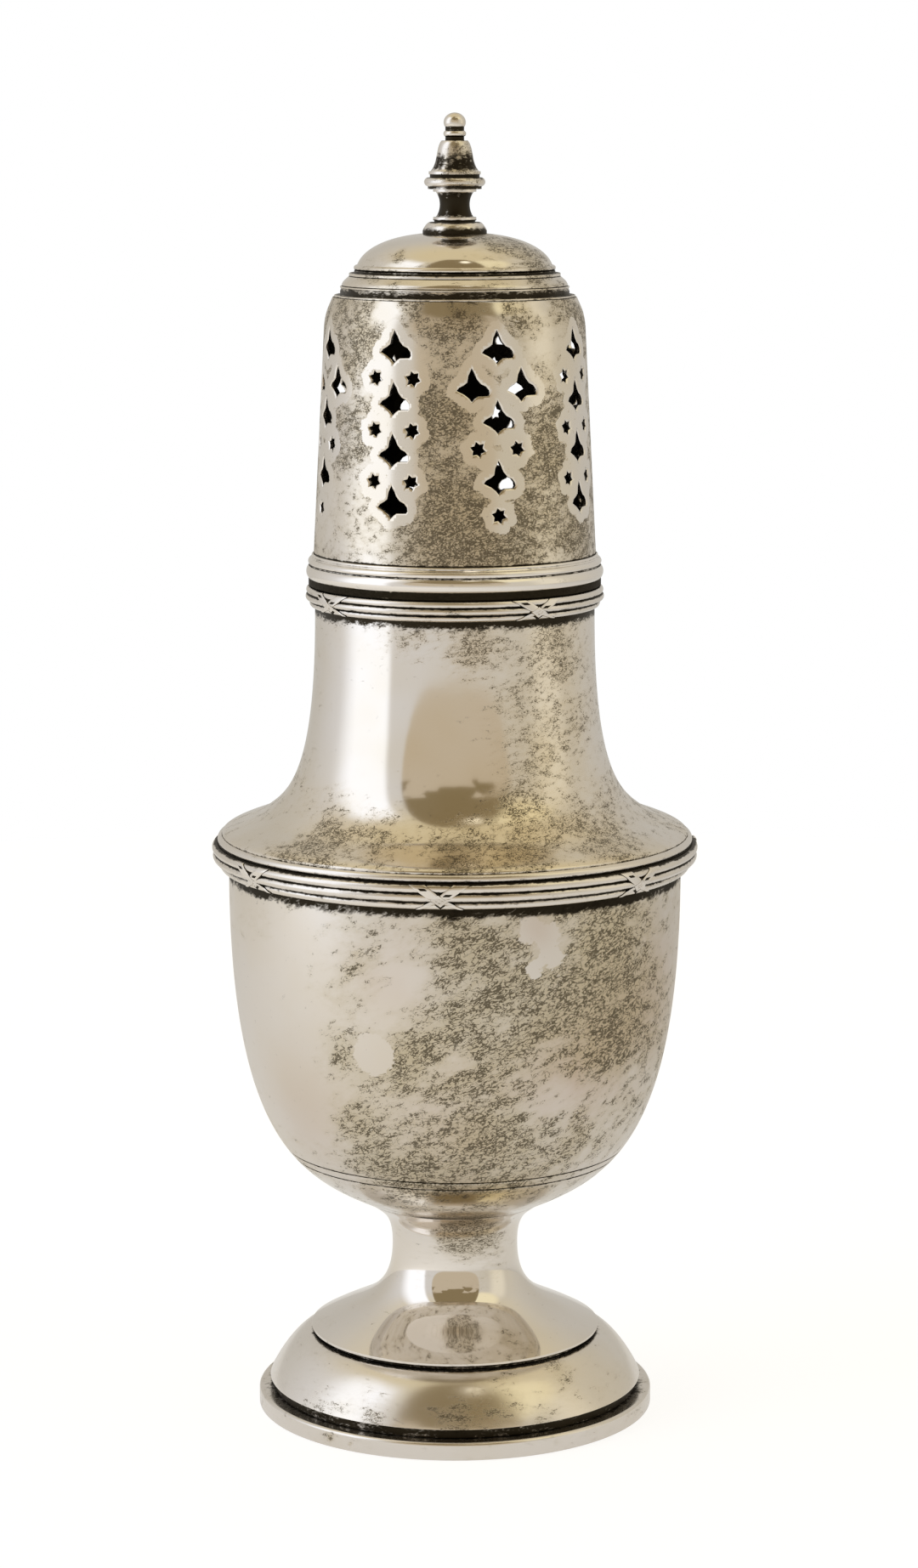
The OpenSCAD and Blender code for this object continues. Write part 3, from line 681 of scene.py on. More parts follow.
def tie(name, centres, r):
    """One crossed tie at the front, in its place on a reeded wire."""
    heights, skin = ribbon_skin(centres, r, ribbon_proud)
    low, high = centres[-1][1] - tie_reach * r, centres[0][1] + tie_reach * r
    top_x, foot_x = (tie_w - ribbon_w) / 2, (tie_foot_w - tip_w) / 2
    knot_z = high + (low - high) * tie_cross
    bends = (0, tie_cross, 1)
    verts, faces = [], []

    def take(made):
        faces.extend(tuple(len(verts) + k for k in face) for face in made[1])
        verts.extend(made[0])

    for side, dash_place in zip((-1, 1), dash_places):
        under = ribbon_under if side > 0 else 0

        def ribbon(s, v):
            width = np.interp(s, bends, (ribbon_w, cross_w, tip_w))
            x = side * np.interp(s, bends, (top_x, 0, -foot_x)) + reach(v, width / 2)
            z = high + (low - high) * s
            dash_z = high + (knot_z - high) * dash_place
            dash = abs(v) < dash_share and abs(z - dash_z) < dash_h / 2
            r = np.interp(z, heights, skin) - under - ribbon_crown * v**4 - dash_depth * dash
            return x, r, z, dash_dark * dash

        take(strip(cut_off(ribbon_steps[0]), eased(ribbon_steps[1]), ribbon, ribbon_depth))
    down = at(top_x, knot_z - high)
    down /= np.hypot(*down)
    up = down * at(1, -1)

    def knot(s, v):
        along = reach(s, knot_l / 2)
        x, dz = along * down + reach(v, knot_w / 2) * up
        slash = abs(v) < slash_share and min(abs(along - place) for place in slash_places) < slash_w / 2
        lift = knot_proud - dash_depth * slash
        return x, np.interp(knot_z + dz, heights, skin) + lift, knot_z + dz, dash_dark * slash

    take(strip(eased(knot_steps[0]), eased(knot_steps[1]), knot, ribbon_depth))
    piece = shaped(name, [v[:3] for v in verts], faces)
    piece.data.shade_smooth()
    piece.data.set_sharp_from_angle(angle=math.radians(tie_arris))
    paint(piece, "dirt", [v[3] for v in verts])
    return piece


def new_tree(name, inputs):
    """A new Geometry Nodes tree with named inputs and one output, and the sockets that give its inputs."""
    tree = bpy.data.node_groups.new(name, "GeometryNodeTree")
    for label, kind in inputs.items():
        tree.interface.new_socket(label, in_out="INPUT", socket_type="NodeSocket" + kind)
    tree.interface.new_socket("Geometry", in_out="OUTPUT", socket_type="NodeSocketGeometry")
    return tree, tree.nodes.new("NodeGroupInput").outputs


def finish_tree(tree, geometry, finish):
    """The end of a Geometry Nodes tree: what it made gets its finish and goes out."""
    done = add(tree, "GeometryNodeSetMaterial", {"Geometry": geometry, "Material": finish}).outputs[0]
    add(tree, "NodeGroupOutput", {"Geometry": done})


def fill_in(piece, tree, values):
    """Gives a piece a Geometry Nodes tree, with a value for each of its named inputs."""
    modifier = piece.modifiers.new(tree.name, "NODES")
    modifier.node_group = tree
    for socket in tree.interface.items_tree:
        if socket.in_out == "INPUT" and socket.name in values:
            modifier[socket.identifier] = values[socket.name]


def plain_mesh(piece):
    """Turns what a piece's Geometry Nodes make into its own mesh, and takes the modifier away."""
    graph = bpy.context.evaluated_depsgraph_get()
    made = bpy.data.meshes.new_from_object(piece.evaluated_get(graph))
    piece.modifiers.clear()
    made.name = piece.name
    piece.data = made


def ring_tree():
    """Geometry Nodes that set copies of one tie round the axis."""
    tree, given = new_tree("ring_of_ties", {
        "Tie": "Object", "Count": "Int", "Turn": "Float", "Finish": "Material",
    })
    tie_shape = add(tree, "GeometryNodeObjectInfo", {"Object": given["Tie"]}).outputs["Geometry"]
    points = add(tree, "GeometryNodePoints", {"Count": given["Count"]}).outputs["Points"]
    index = tree.nodes.new("GeometryNodeInputIndex").outputs["Index"]
    share = reckon(tree, "DIVIDE", index, given["Count"])
    angle = reckon(tree, "MULTIPLY_ADD", share, 2 * math.pi, given["Turn"])
    euler = add(tree, "ShaderNodeCombineXYZ", {"Z": angle}).outputs[0]
    turn = add(tree, "FunctionNodeEulerToRotation", {"Euler": euler}).outputs[0]
    copies = add(tree, "GeometryNodeInstanceOnPoints",
                 {"Points": points, "Instance": tie_shape, "Rotation": turn}).outputs[0]
    real = add(tree, "GeometryNodeRealizeInstances", {"Geometry": copies}).outputs[0]
    finish_tree(tree, real, given["Finish"])
    return tree


def ring_of_ties(name, one_tie, count, turn):
    """The ties of one wire, as one piece."""
    piece = shaped(name, [], [])
    fill_in(piece, ties_tree, {
        "Tie": one_tie, "Count": count, "Turn": math.radians(turn), "Finish": tie_silver,
    })
    plain_mesh(piece)
    bpy.data.objects.remove(one_tie)
    return piece


ties_tree = ring_tree()
tie_silver = silver("tie_silver", warmth=0.15, gloss=0.22, haze=0.15)
girdle_tie = tie("girdle_tie", girdle_centres[1:], girdle_reed_r)
girdle_tie_ring = ring_of_ties("girdle_ties", girdle_tie, girdle_ties, girdle_tie_turn)
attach(girdle_tie_ring, "vessel")

# Neck and shoulder: spun in one piece of sheet silver, its lower edge lapped over the bowl.
# The throat is still bright, and a golden-brown film lies on the flat of the shoulder.
shoulder_edge_h = 0.0009
neck_straight_h = 0.0034
hip_share = 0.58
hip_h = 0.0038
hip_pull = at(0.00175, -0.0013)
neck_pull = at(-0.0031, 0.0023)
neck_throat_h = 0.0088
edge_pull = at(-0.0004, 0.00085)
neck_r = 0.019
neck_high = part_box("neck_shell")[1]
shoulder_r = neck_high.x
neck_z = neck_high.z
shoulder_edge = at(shoulder_r, bowl_z + shoulder_edge_h)
hip = at(neck_r + (bowl_r - neck_r) * hip_share, bowl_z + hip_h)
neck_top = at(neck_r, neck_z - neck_straight_h)
neck_line = [
    *curve(shoulder_edge, shoulder_edge + edge_pull, hip + hip_pull, hip),
    *curve(hip, hip + neck_pull, at(neck_r, bowl_z + neck_throat_h), neck_top, steps=48),
    neck_top,
    at(neck_r, neck_z),
]
neck_bore = [p for p in beside(neck_line, sheet) if p[0] < bowl_r - sheet]
neck_outline = [at(bowl_r - sheet, bowl_z), at(shoulder_r, bowl_z), *neck_line, *reversed(neck_bore)]
neck = turned("spun_neck", refined(softened(neck_outline, arris)))
tarnish(neck, 0.1, [
    (0, 0.082, 0.005, 0.7), (45, 0.0825, 0.006, 0.6), (-40, 0.083, 0.006, 0.8), (20, 0.083, 0.005, 0.5),
    (-20, 0.082, 0.004, 0.4), (50, 0.100, 0.010, 0.22), (35, 0.096, 0.006, 0.2), (6, 0.1090, 0.004, 0.65),
    (45, 0.109, 0.005, 0.5), (-20, 0.1085, 0.003, 0.4), (-35, 0.097, 0.009, -0.5), (0, 0.095, 0.006, -0.35),
    (26, 0.104, 0.006, 0.25), (22, 0.089, 0.004, 0.2), (180, 0.084, 0.016, 0.5), (120, 0.100, 0.012, 0.2),
    (-120, 0.084, 0.012, 0.4), (90, 0.084, 0.010, 0.4),
])
neck.data.materials.append(silver("neck_silver", warmth=0.35, slant=12, fine=1900, veil=0.36, gloss=0.1,
                                  film=(0.58, 0.43, 0.19, 1)))
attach(neck, "vessel")
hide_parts("neck_shell")

# Neck band: a narrower wire of three reeds with four ties of its own, soldered round the top of the neck.
# It is made as the girdle is.
neck_reed_r = 0.0005
neck_pitch = 0.0009
neck_proud = 0.00127
neck_band_drop = 0.00015
neck_insets = (0.0001, 0, 0.00055)
neck_ties = 4
neck_tie_turn = 33.5
neck_out = neck_r + neck_proud - neck_reed_r
neck_band_top = neck_z - neck_band_drop - neck_reed_r
neck_centres = reed_centres(neck_insets, neck_out, neck_band_top, neck_pitch)
neck_band_outline = reeded(neck_centres, neck_reed_r, neck_r, neck_band_top + neck_reed_r / 2)
neck_band = turned("neck_reeds", refined(neck_band_outline, longest=0.0004))
tarnish(neck_band, 0.0)
# Painted shade under the lowest reed of the band, with tarnish: a dark band on the neck.
dirt_and_shade_bands.append(("spun_neck", neck_centres[-1][1] - 2 * neck_reed_r, 0.0007, 0.5))
dirt_and_shade_bands += between_reeds("neck_reeds", neck_centres)
neck_band.data.materials.append(bpy.data.materials["reed_silver"])
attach(neck_band, "vessel")
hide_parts("neck_reeding")
neck_tie = tie("neck_tie", neck_centres, neck_reed_r)
neck_tie_ring = ring_of_ties("neck_ties", neck_tie, neck_ties, neck_tie_turn)
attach(neck_tie_ring, "vessel")

# Mouth ring: a flat wire on the edge of the neck, on which the cover rests. It is of dull silver and soldered
# on. Its outside is painted black: a painted shadow of the gap under the cover's rim, with dirt.
mouth_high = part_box("mouth_ring")[1]
mouth_r = mouth_high.x
mouth_z = mouth_high.z
mouth_bore = neck_r - sheet
mouth_outline = [at(mouth_bore, neck_z), at(mouth_r, neck_z), at(mouth_r, mouth_z), at(mouth_bore, mouth_z)]
mouth = turned("mouth_wire", refined(softened(mouth_outline, arris), longest=0.0004))
# Heavy tarnish and black all round: the painted shadow of the gap under the cover.
tarnish(mouth, 0.9)
dirt_and_shade_bands.append(("mouth_wire", (neck_z + mouth_z) / 2, (mouth_z - neck_z) / 2, 1.3))
mouth.data.materials.append(silver("mouth_silver", warmth=0.4, gloss=0.22))
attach(mouth, "vessel")
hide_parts("mouth_ring")

# Slip collar: a plain tube of sheet silver, soldered inside the cover, that slides in the neck.
# Only its outside is rubbed bright, by the neck.
collar_t = 0.0006
collar_lead = 0.0002
slip_gap = 0.00006
solder_gap = 0.00002
sleeve_taper = 0.0017
sleeve_shoulder_h = 0.0044
sleeve_shoulder_w = 0.0012
collar_low, collar_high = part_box("slip_collar")
sleeve_low, sleeve_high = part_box("pierced_sleeve")
cover_z = sleeve_low.z
sleeve_r = sleeve_high.x
sleeve_z = sleeve_high.z
sleeve_slope = sleeve_taper / (sleeve_z - sleeve_shoulder_h - cover_z)
sleeve_bore_r = sleeve_r - sheet * math.hypot(1, sleeve_slope)
collar_r = neck_r - sheet - slip_gap
collar_seat = sleeve_bore_r - solder_gap
collar_top = at(collar_seat - sleeve_slope * (collar_high.z - cover_z), collar_high.z)
collar_outline = [
    at(collar_r - collar_t, collar_low.z),
    at(collar_r - collar_lead, collar_low.z),
    at(collar_r, collar_low.z + collar_lead),
    at(collar_r, cover_z),
    at(collar_seat, cover_z),
    collar_top,
    collar_top - at(collar_t, 0),
    at(collar_r - collar_t, cover_z),
]
collar = turned("collar_tube", refined(collar_outline))
tarnish(collar, 0.35)
collar.data.materials.append(silver("collar_silver", streaks=0.3, gloss=0.2))
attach(collar, "cover")
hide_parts("slip_collar")

# Pierced sleeve: sheet silver rolled into a tapering tube with a rounded shoulder, then sawn through with
# fleurs and six-pointed stars in eight columns of two kinds. Polish has kept a clean margin round each hole.
columns_of_a_kind = 4
column_turn = 18.3
fleur_w = 0.0044
fleur_h = 0.0044
star_r = 0.00105
star_points = 6
star_waist = 0.62
star_tilt = 15
pierce_drop = 0.0058
fleur_drops = (0, 0.0091, 0.017)
fleur_pair_drop = 0.0049
fleur_spread = 0.00345
star_pair_drop = 0.0133
star_drop = 0.022
star_spread = 0.00275
slim_fleurs = 4
slim_pitch = 0.00675
slim_star_rise = 0.0026
saw_bevel = 0.00014
saw_depth = 0.002
saw_proud = 0.00028
saw_arris = 30
hair = 0.000003
clean_margin = 0.0013
margin_core = 0.6
side_top_pull = at(-0.0001, 0.0024)
sleeve_top_pull = at(0.0005, -0.0012)
side_top = at(sleeve_r - sleeve_taper, sleeve_z - sleeve_shoulder_h)
sleeve_top = at(side_top[0] - sleeve_shoulder_w, sleeve_z)
sleeve_shoulder = curve(side_top, side_top + side_top_pull, sleeve_top + sleeve_top_pull, sleeve_top)
sleeve_lip_r = sleeve_top[0] - sheet
sleeve_bore = [p for p in beside(sleeve_shoulder, sheet) if p[1] < sleeve_z - sheet and p[0] > sleeve_lip_r]
sleeve_outline = [
    at(sleeve_r, cover_z),
    *sleeve_shoulder,
    sleeve_top,
    at(sleeve_lip_r, sleeve_z),
    *reversed(sleeve_bore),
    at(sleeve_bore_r, cover_z),
]

# Outline of a fleur as shares of its width and height: the blunt right wing, then the pointed left one.
fleur_outline = [
    (0, 0.5), (0.1, 0.3), (0.16, 0.17), (0.28, 0.03), (0.43, -0.04), (0.52, -0.15), (0.54, -0.26),
    (0.5, -0.33), (0.19, -0.34), (0.09, -0.4), (0, -0.5), (-0.09, -0.39), (-0.24, -0.28),
    (-0.36, -0.22), (-0.46, -0.17), (-0.39, -0.08), (-0.24, 0), (-0.14, 0.08), (-0.1, 0.28),
]
star_outline = [
    at(math.cos(a), math.sin(a)) * (star_r if i % 2 == 0 else star_r * star_waist)
    for i in range(2 * star_points)
    for a in [math.radians(180 / star_points * i - star_tilt)]
]


def saw_cut(name, outline):
    """The metal that a saw takes out: an outline, given anticlockwise, cut through the sheet, with its outer
    edge eased."""
    line = np.array(outline)
    count = len(line)
    levels = [(-saw_depth, 0.0), (-saw_bevel, 0.0), (saw_proud, saw_proud + saw_bevel)]
    verts = [(x, depth, z) for depth, grow in levels for x, z in line + grow * right_of(chords(line))]
    faces = []
    for level in range(len(levels) - 1):
        for k in range(count):
            a, b = level * count + k, level * count + (k + 1) % count
            faces.append((a, b, b + count, a + count))
    inner = list(range(count))
    outer = [(len(levels) - 1) * count + k for k in range(count)]
    return shaped(name, verts, [*faces, inner[::-1], outer])


def pierced_places():
    """Where the holes of one wide and one slim column lie on the flat sheet: turn, distance aside, height and
    kind."""
    fleur_kind, star_kind = 0, 1
    sides = (-1, 1)
    wide, slim = math.radians(column_turn), math.radians(column_turn) + math.pi / columns_of_a_kind
    first = sleeve_z - pierce_drop
    places = [(wide, 0, first - drop, fleur_kind) for drop in fleur_drops]
    places += [(wide, side * fleur_spread, first - fleur_pair_drop, fleur_kind) for side in sides]
    places += [(wide, side * star_spread, first - star_pair_drop, star_kind) for side in sides]
    places += [(wide, 0, first - star_drop, star_kind)]
    places += [(slim, 0, first - slim_pitch * i, fleur_kind) for i in range(slim_fleurs)]
    places += [
        (slim, side * star_spread, first + slim_star_rise - slim_pitch * i, star_kind)
        for i in range(1, slim_fleurs) for side in sides
    ]
    return np.array(places)


def piercing_tree():
    """Geometry Nodes that repeat the columns' holes, roll the pattern round the sleeve and saw it out."""
    tree, given = new_tree("piercing", {
        "Sleeve": "Geometry", "Places": "Object", "Fleur": "Object", "Star": "Object", "Repeats": "Int",
        "Foot radius": "Float", "Foot height": "Float", "Slope": "Float", "Margin": "Float",
        "Finish": "Material",
    })

    def kept(name):
        return add(tree, "GeometryNodeInputNamedAttribute", {"Name": name}, data_type="FLOAT").outputs[0]

    def keep(geometry, name, value):
        inputs = {"Geometry": geometry, "Name": name, "Value": value}
        stored = add(tree, "GeometryNodeStoreNamedAttribute", inputs, data_type="FLOAT", domain="POINT")
        return stored.outputs[0]

    def shape(name):
        return add(tree, "GeometryNodeObjectInfo", {"Object": given[name]}).outputs["Geometry"]

    repeated = add(tree, "GeometryNodeDuplicateElements",
                   {"Geometry": shape("Places"), "Amount": given["Repeats"]}, domain="POINT").outputs
    part = reckon(tree, "DIVIDE", 2 * math.pi, given["Repeats"])
    turn = reckon(tree, "MULTIPLY_ADD", repeated["Duplicate Index"], part, kept("turn"))
    placed = keep(repeated["Geometry"], "turn", turn)
    joined = tree.nodes.new("GeometryNodeJoinGeometry")
    for kind, name in enumerate(("Fleur", "Star")):
        chosen = add(tree, "FunctionNodeCompare", {"A": kept("kind"), "B": float(kind), "Epsilon": 0.1},
                     data_type="FLOAT", operation="EQUAL").outputs[0]
        copies = add(tree, "GeometryNodeInstanceOnPoints",
                     {"Points": placed, "Selection": chosen, "Instance": shape(name)}).outputs[0]
        tree.links.new(copies, joined.inputs[0])
    flat = add(tree, "GeometryNodeRealizeInstances", {"Geometry": joined.outputs[0]}).outputs[0]

    position = tree.nodes.new("GeometryNodeInputPosition").outputs[0]
    spot = add(tree, "ShaderNodeSeparateXYZ", {0: position}).outputs
    rise = reckon(tree, "SUBTRACT", spot["Z"], given["Foot height"])
    surface = reckon(tree, "SUBTRACT", given["Foot radius"], reckon(tree, "MULTIPLY", rise, given["Slope"]))
    angle = reckon(tree, "ADD", kept("turn"), reckon(tree, "DIVIDE", spot["X"], surface))
    radius = reckon(tree, "ADD", surface, spot["Y"])
    x = reckon(tree, "MULTIPLY", radius, reckon(tree, "SINE", angle))
    y = reckon(tree, "MULTIPLY", radius, reckon(tree, "MULTIPLY", reckon(tree, "COSINE", angle), -1.0))
    rolled = add(tree, "ShaderNodeCombineXYZ", {"X": x, "Y": y, "Z": spot["Z"]}).outputs[0]
    cuts = add(tree, "GeometryNodeSetPosition", {"Geometry": flat, "Position": rolled}).outputs[0]

    sawn = add(tree, "GeometryNodeMeshBoolean", {"Mesh 1": given["Sleeve"], "Mesh 2": cuts},
               operation="DIFFERENCE", solver="MANIFOLD").outputs["Mesh"]
    sawn = add(tree, "GeometryNodeMergeByDistance", {"Geometry": sawn, "Distance": hair}).outputs[0]
    gap = add(tree, "GeometryNodeProximity", {"Geometry": cuts}).outputs["Distance"]
    core = reckon(tree, "MULTIPLY", given["Margin"], margin_core)
    finish_tree(tree, keep(sawn, "wiped", ramp(tree, gap, given["Margin"], core)), given["Finish"])
    return tree


places = pierced_places()
place_points = shaped("pierced_places", [(x, 0, z) for _, x, z, _ in places], [])
paint(place_points, "turn", places[:, 0])
paint(place_points, "kind", places[:, 3])
fleur = saw_cut("fleur_cut", [at(x * fleur_w, z * fleur_h) for x, z in reversed(fleur_outline)])
star = saw_cut("star_cut", star_outline)
sleeve = turned("pierced_cover", refined(sleeve_outline, longest=0.0004), steps=360)
fill_in(sleeve, piercing_tree(), {
    "Places": place_points, "Fleur": fleur, "Star": star, "Repeats": columns_of_a_kind,
    "Foot radius": sleeve_r, "Foot height": cover_z, "Slope": sleeve_slope, "Margin": clean_margin,
    "Finish": silver("sleeve_silver", warmth=0.35, streaks=1.6, slant=8, fine=1900, specks=0.105, veil=0.6,
                     gloss=0.16, film=(0.43, 0.33, 0.17, 1)),
})
plain_mesh(sleeve)
for used in (place_points, fleur, star):
    bpy.data.objects.remove(used)
sleeve.data.shade_smooth()
sleeve.data.set_sharp_from_angle(angle=math.radians(saw_arris))
tarnish(sleeve, 0.5, [
    (-6, 0.1396, 0.004, 0.3), (-3, 0.1274, 0.006, 0.4), (39, 0.1311, 0.005, 0.4), (-6, 0.1484, 0.003, 0.3),
    (-40, 0.1482, 0.0036, 0.3), (-50, 0.137, 0.005, 0.1), (-62, 0.125, 0.006, -0.4), (32, 0.151, 0.004, 0.2),
    (45, 0.148, 0.004, -0.3), (-8, 0.1527, 0.0014, -0.8), (16, 0.1527, 0.0014, -0.8),
    (42, 0.1527, 0.0014, -0.7), (-32, 0.1524, 0.0016, -0.8), (-22, 0.146, 0.003, -0.4),
    (10, 0.1225, 0.006, 0.3), (60, 0.1245, 0.004, 0.3), (-35, 0.1205, 0.003, -0.3), (130, 0.130, 0.012, 0.3),
    (-130, 0.126, 0.012, 0.3),
])
# Its inside is painted near black: dirt, and the shade inside the cover that shows through the holes.
dark_inside.append("pierced_cover")
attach(sleeve, "cover")
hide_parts("pierced_sleeve")

# Cover rim: a drawn moulding soldered round the cover's foot: a swelling, a reed and a fine fillet.
# Its tops are polished white, and dirt and painted shade lie in the lines between them.
rim_reed_r = 0.00048
rim_reed_out = 0.7
rim_reed_turn = 80
rim_fillet_r = 0.00023
rim_fillet_out = 0.15
rim_fillet_turn = -40
rim_groove_h = 0.00008
rim_groove_out = 0.4
swell_round = 0.75
cover_rim_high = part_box("cover_rim")[1]
rim_proud = cover_rim_high.x - sleeve_r
rim_top_z = cover_rim_high.z
swell_h = rim_top_z - cover_z - 2 * (rim_reed_r + rim_fillet_r + rim_groove_h)
swell_r = swell_round * swell_h
swell_centre = at(sleeve_r + rim_proud - swell_r, cover_z + swell_h / 2)
swell_half = math.degrees(math.asin(swell_h / 2 / swell_r))
rim_reed_z = cover_z + swell_h + rim_groove_h + rim_reed_r
reed_centre = at(sleeve_r + rim_reed_out * rim_proud - rim_reed_r, rim_reed_z)
fillet_centre = at(sleeve_r + rim_fillet_out * rim_proud - rim_fillet_r, rim_top_z - rim_fillet_r)
groove_r = sleeve_r + rim_groove_out * rim_proud
groove_turn = math.degrees(math.acos(np.clip((groove_r - reed_centre[0]) / rim_reed_r, -1, 1)))
rim_back = sleeve_r + solder_gap
cover_rim_outline = [
    at(rim_back, cover_z),
    *arc(swell_centre, swell_r, -swell_half, swell_half, steps=14),
    at(groove_r, cover_z + swell_h),
    *arc(reed_centre, rim_reed_r, -groove_turn, rim_reed_turn, steps=14),
    *arc(fillet_centre, rim_fillet_r, rim_fillet_turn, 90),
    at(rim_back - sleeve_slope * (rim_top_z - cover_z), rim_top_z),
]
cover_rim_line = refined(softened(cover_rim_outline, arris / 2), longest=0.0004)
cover_rim = turned("cover_moulding", cover_rim_line, steps=320)
tarnish(cover_rim, -0.1)
cover_rim.data.materials.append(silver("moulding_silver", warmth=0.1, gloss=0.16, haze=0.0))
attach(cover_rim, "cover")
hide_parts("cover_rim")

# Crown: a cap stamped from sheet silver: a thin lip, a cove, a fillet, a sloping band with a fine line near
# its top, a groove with a bead over it, and a low dome. It is soldered on the sleeve. Its grooves are black.
crown_inset = 0.0002
crown_lip_h = 0.0003
cove_d = 0.0008
cove_h = 0.00095
crown_fillet_d = 0.00015
crown_fillet_h = 0.00022
crown_line = 0.0001
crown_edge_h = 0.00035
band_h = 0.0032
band_w = 0.002
band_pull = at(-0.00005, 0.0005)
band_top_pull = at(0.00045, -0.00045)
crown_groove_w = 0.0011
crown_groove_h = 0.00035
bead_w = 0.00045
bead_h = 0.0007
bead_undercut = 0.00005
crown_dome_pull = at(-0.00085, 0.00235)
crown_dome_rise = 0.00035
crown_inside_w = 0.003
crown_seat_w = 0.0014
flange_seat = 0.0001
peg_r = 0.001
half_round = 75
crown_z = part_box("crown")[1].z
finial_low, finial_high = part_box("finial")
flange_r = finial_high.x
crown_r = sleeve_top[0] - crown_inset


def round_edge(r, z, h):
    """A half-round moulding of an outline, from its lower edge up."""
    return arc(at(r - h / 2, z + h / 2), h / 2, -half_round, half_round)


cove_r = crown_r - cove_d
cove_z = sleeve_z + crown_lip_h
crown_fillet_z = cove_z + cove_h
band_foot = at(cove_r - 1.5 * crown_fillet_d, crown_fillet_z + crown_fillet_h + crown_line)
edge_top = at(crown_r - band_w, sleeve_z + band_h)
band_top = edge_top - at(-crown_line / 2, crown_edge_h + crown_line)
crown_dome_foot = at(edge_top[0] - crown_groove_w, edge_top[1] + crown_groove_h + bead_h)
crown_dome_top = at(flange_r + flange_seat, crown_z)
bead_r = crown_dome_foot[0] + bead_w
bead_foot_z = edge_top[1] + crown_groove_h
crown_bore = at(flange_r, crown_z - sheet)
crown_inside = curve(at(crown_r - crown_seat_w, sleeve_z), edge_top - at(bead_w, crown_groove_h),
                     at(crown_dome_foot[0] - crown_inside_w, crown_z - sheet), crown_bore)
crown_outline = [
    at(crown_r, sleeve_z),
    at(crown_r, cove_z),
    at(cove_r, cove_z),
    at(cove_r, cove_z + cove_h / 2),
    at(cove_r - crown_fillet_d, crown_fillet_z),
    at(cove_r, crown_fillet_z),
    at(cove_r, crown_fillet_z + crown_fillet_h),
    at(band_foot[0] - crown_line, crown_fillet_z + crown_fillet_h),
    at(band_foot[0] - crown_line, band_foot[1]),
    *curve(band_foot, band_foot + band_pull, band_top + band_top_pull, band_top),
    band_top,
    at(edge_top[0] - crown_line, band_top[1]),
    at(edge_top[0] - crown_line, edge_top[1] - crown_edge_h),
    at(edge_top[0], edge_top[1] - crown_edge_h),
    edge_top,
    at(bead_r - bead_undercut, edge_top[1]),
    at(bead_r - bead_undercut, bead_foot_z),
    *round_edge(bead_r, bead_foot_z, bead_h),
    *curve(crown_dome_foot, crown_dome_foot + crown_dome_pull, at(2 * flange_r, crown_z - crown_dome_rise),
           crown_dome_top),
    crown_dome_top,
    at(peg_r, crown_z),
    at(peg_r, crown_z - sheet),
    crown_bore,
    *reversed(crown_inside),
]
crown = turned("stamped_crown", refined(softened(crown_outline, arris)))
tarnish(crown, -0.05, [
    (30, 0.1612, 0.0022, 0.8), (55, 0.160, 0.0028, 0.7), (20, 0.1555, 0.003, 0.5), (-30, 0.1555, 0.004, 0.5),
    (0, 0.1553, 0.0016, 0.5), (48, 0.1553, 0.003, 0.5), (-58, 0.156, 0.003, 0.4), (-38, 0.1594, 0.0008, 0.7),
    (70, 0.156, 0.006, 0.4), (-10, 0.159, 0.004, -0.3), (180, 0.158, 0.012, 0.3),
])
# Dirt and painted shade in the cove and in the groove under the bead.
dirt_and_shade_bands += [
    ("stamped_crown", cove_z + cove_h / 3, 0.00028, 0.6),
    ("stamped_crown", edge_top[1] + crown_groove_h / 2, 0.0002, 0.4),
]
# Its inside is painted near black: dirt, and painted shade inside the cover.
dark_inside.append("stamped_crown")
crown.data.materials.append(silver("crown_silver", warmth=0.35, streaks=3, gloss=0.12))
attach(crown, "cover")
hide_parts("crown")

# Finial: cast silver, turned into a stack of mouldings and pegged through the crown.
# Only its rings are polished: the spool and the necks between the mouldings are painted black, with dirt and
# painted shade.
flange_h = 0.0022
flange_pull = -0.00015
cushion_pull = 0.0005
spool_r = 0.00182
spool_h = 0.00335
ring_r = 0.0041
ring_h = 0.0023
bell_r = 0.00348
bell_h = 0.00445
bell_lip = 0.0002
bell_waist = at(-0.0013, 0.0014)
bell_top_pull = at(-0.0009, -0.00085)
bead_ring_r = 0.00152
bead_ring_h = 0.00185
fillet_r = 0.0029
fillet_h = 0.00045
finial_edge_h = 0.0004
finial_groove_h = 0.0002
finial_groove_d = 0.00015
spool_lip = 0.00035
spool_pull = 0.0009
ring_step_h = 0.00035
ring_step_d = 0.0005
stalk_r = 0.00126
stalk_h = 0.0005
stalk_flare = 0.0005
knob_r = 0.00148
knob_sink = 0.3
knob_turn = (-25, 85)
knob_steps_up = 14
spool_z = crown_z + flange_h
ring_z = spool_z + spool_h
bell_z = ring_z + ring_h
bead_z = bell_z + bell_h
knob_z = bead_z + bead_ring_h
knob_h = finial_high.z - knob_z
cushion_top = at(fillet_r + spool_lip, spool_z - fillet_h - finial_groove_h)
flange_top = at(flange_r, crown_z + finial_edge_h)
spool_end = fillet_r - spool_lip
torus_h = ring_h - 2 * ring_step_h - finial_edge_h
knob = [
    at(knob_r * math.cos(a), knob_z + knob_h * (knob_sink + (1 - knob_sink) * math.sin(a)))
    for a in np.radians(np.linspace(*knob_turn, knob_steps_up))
]
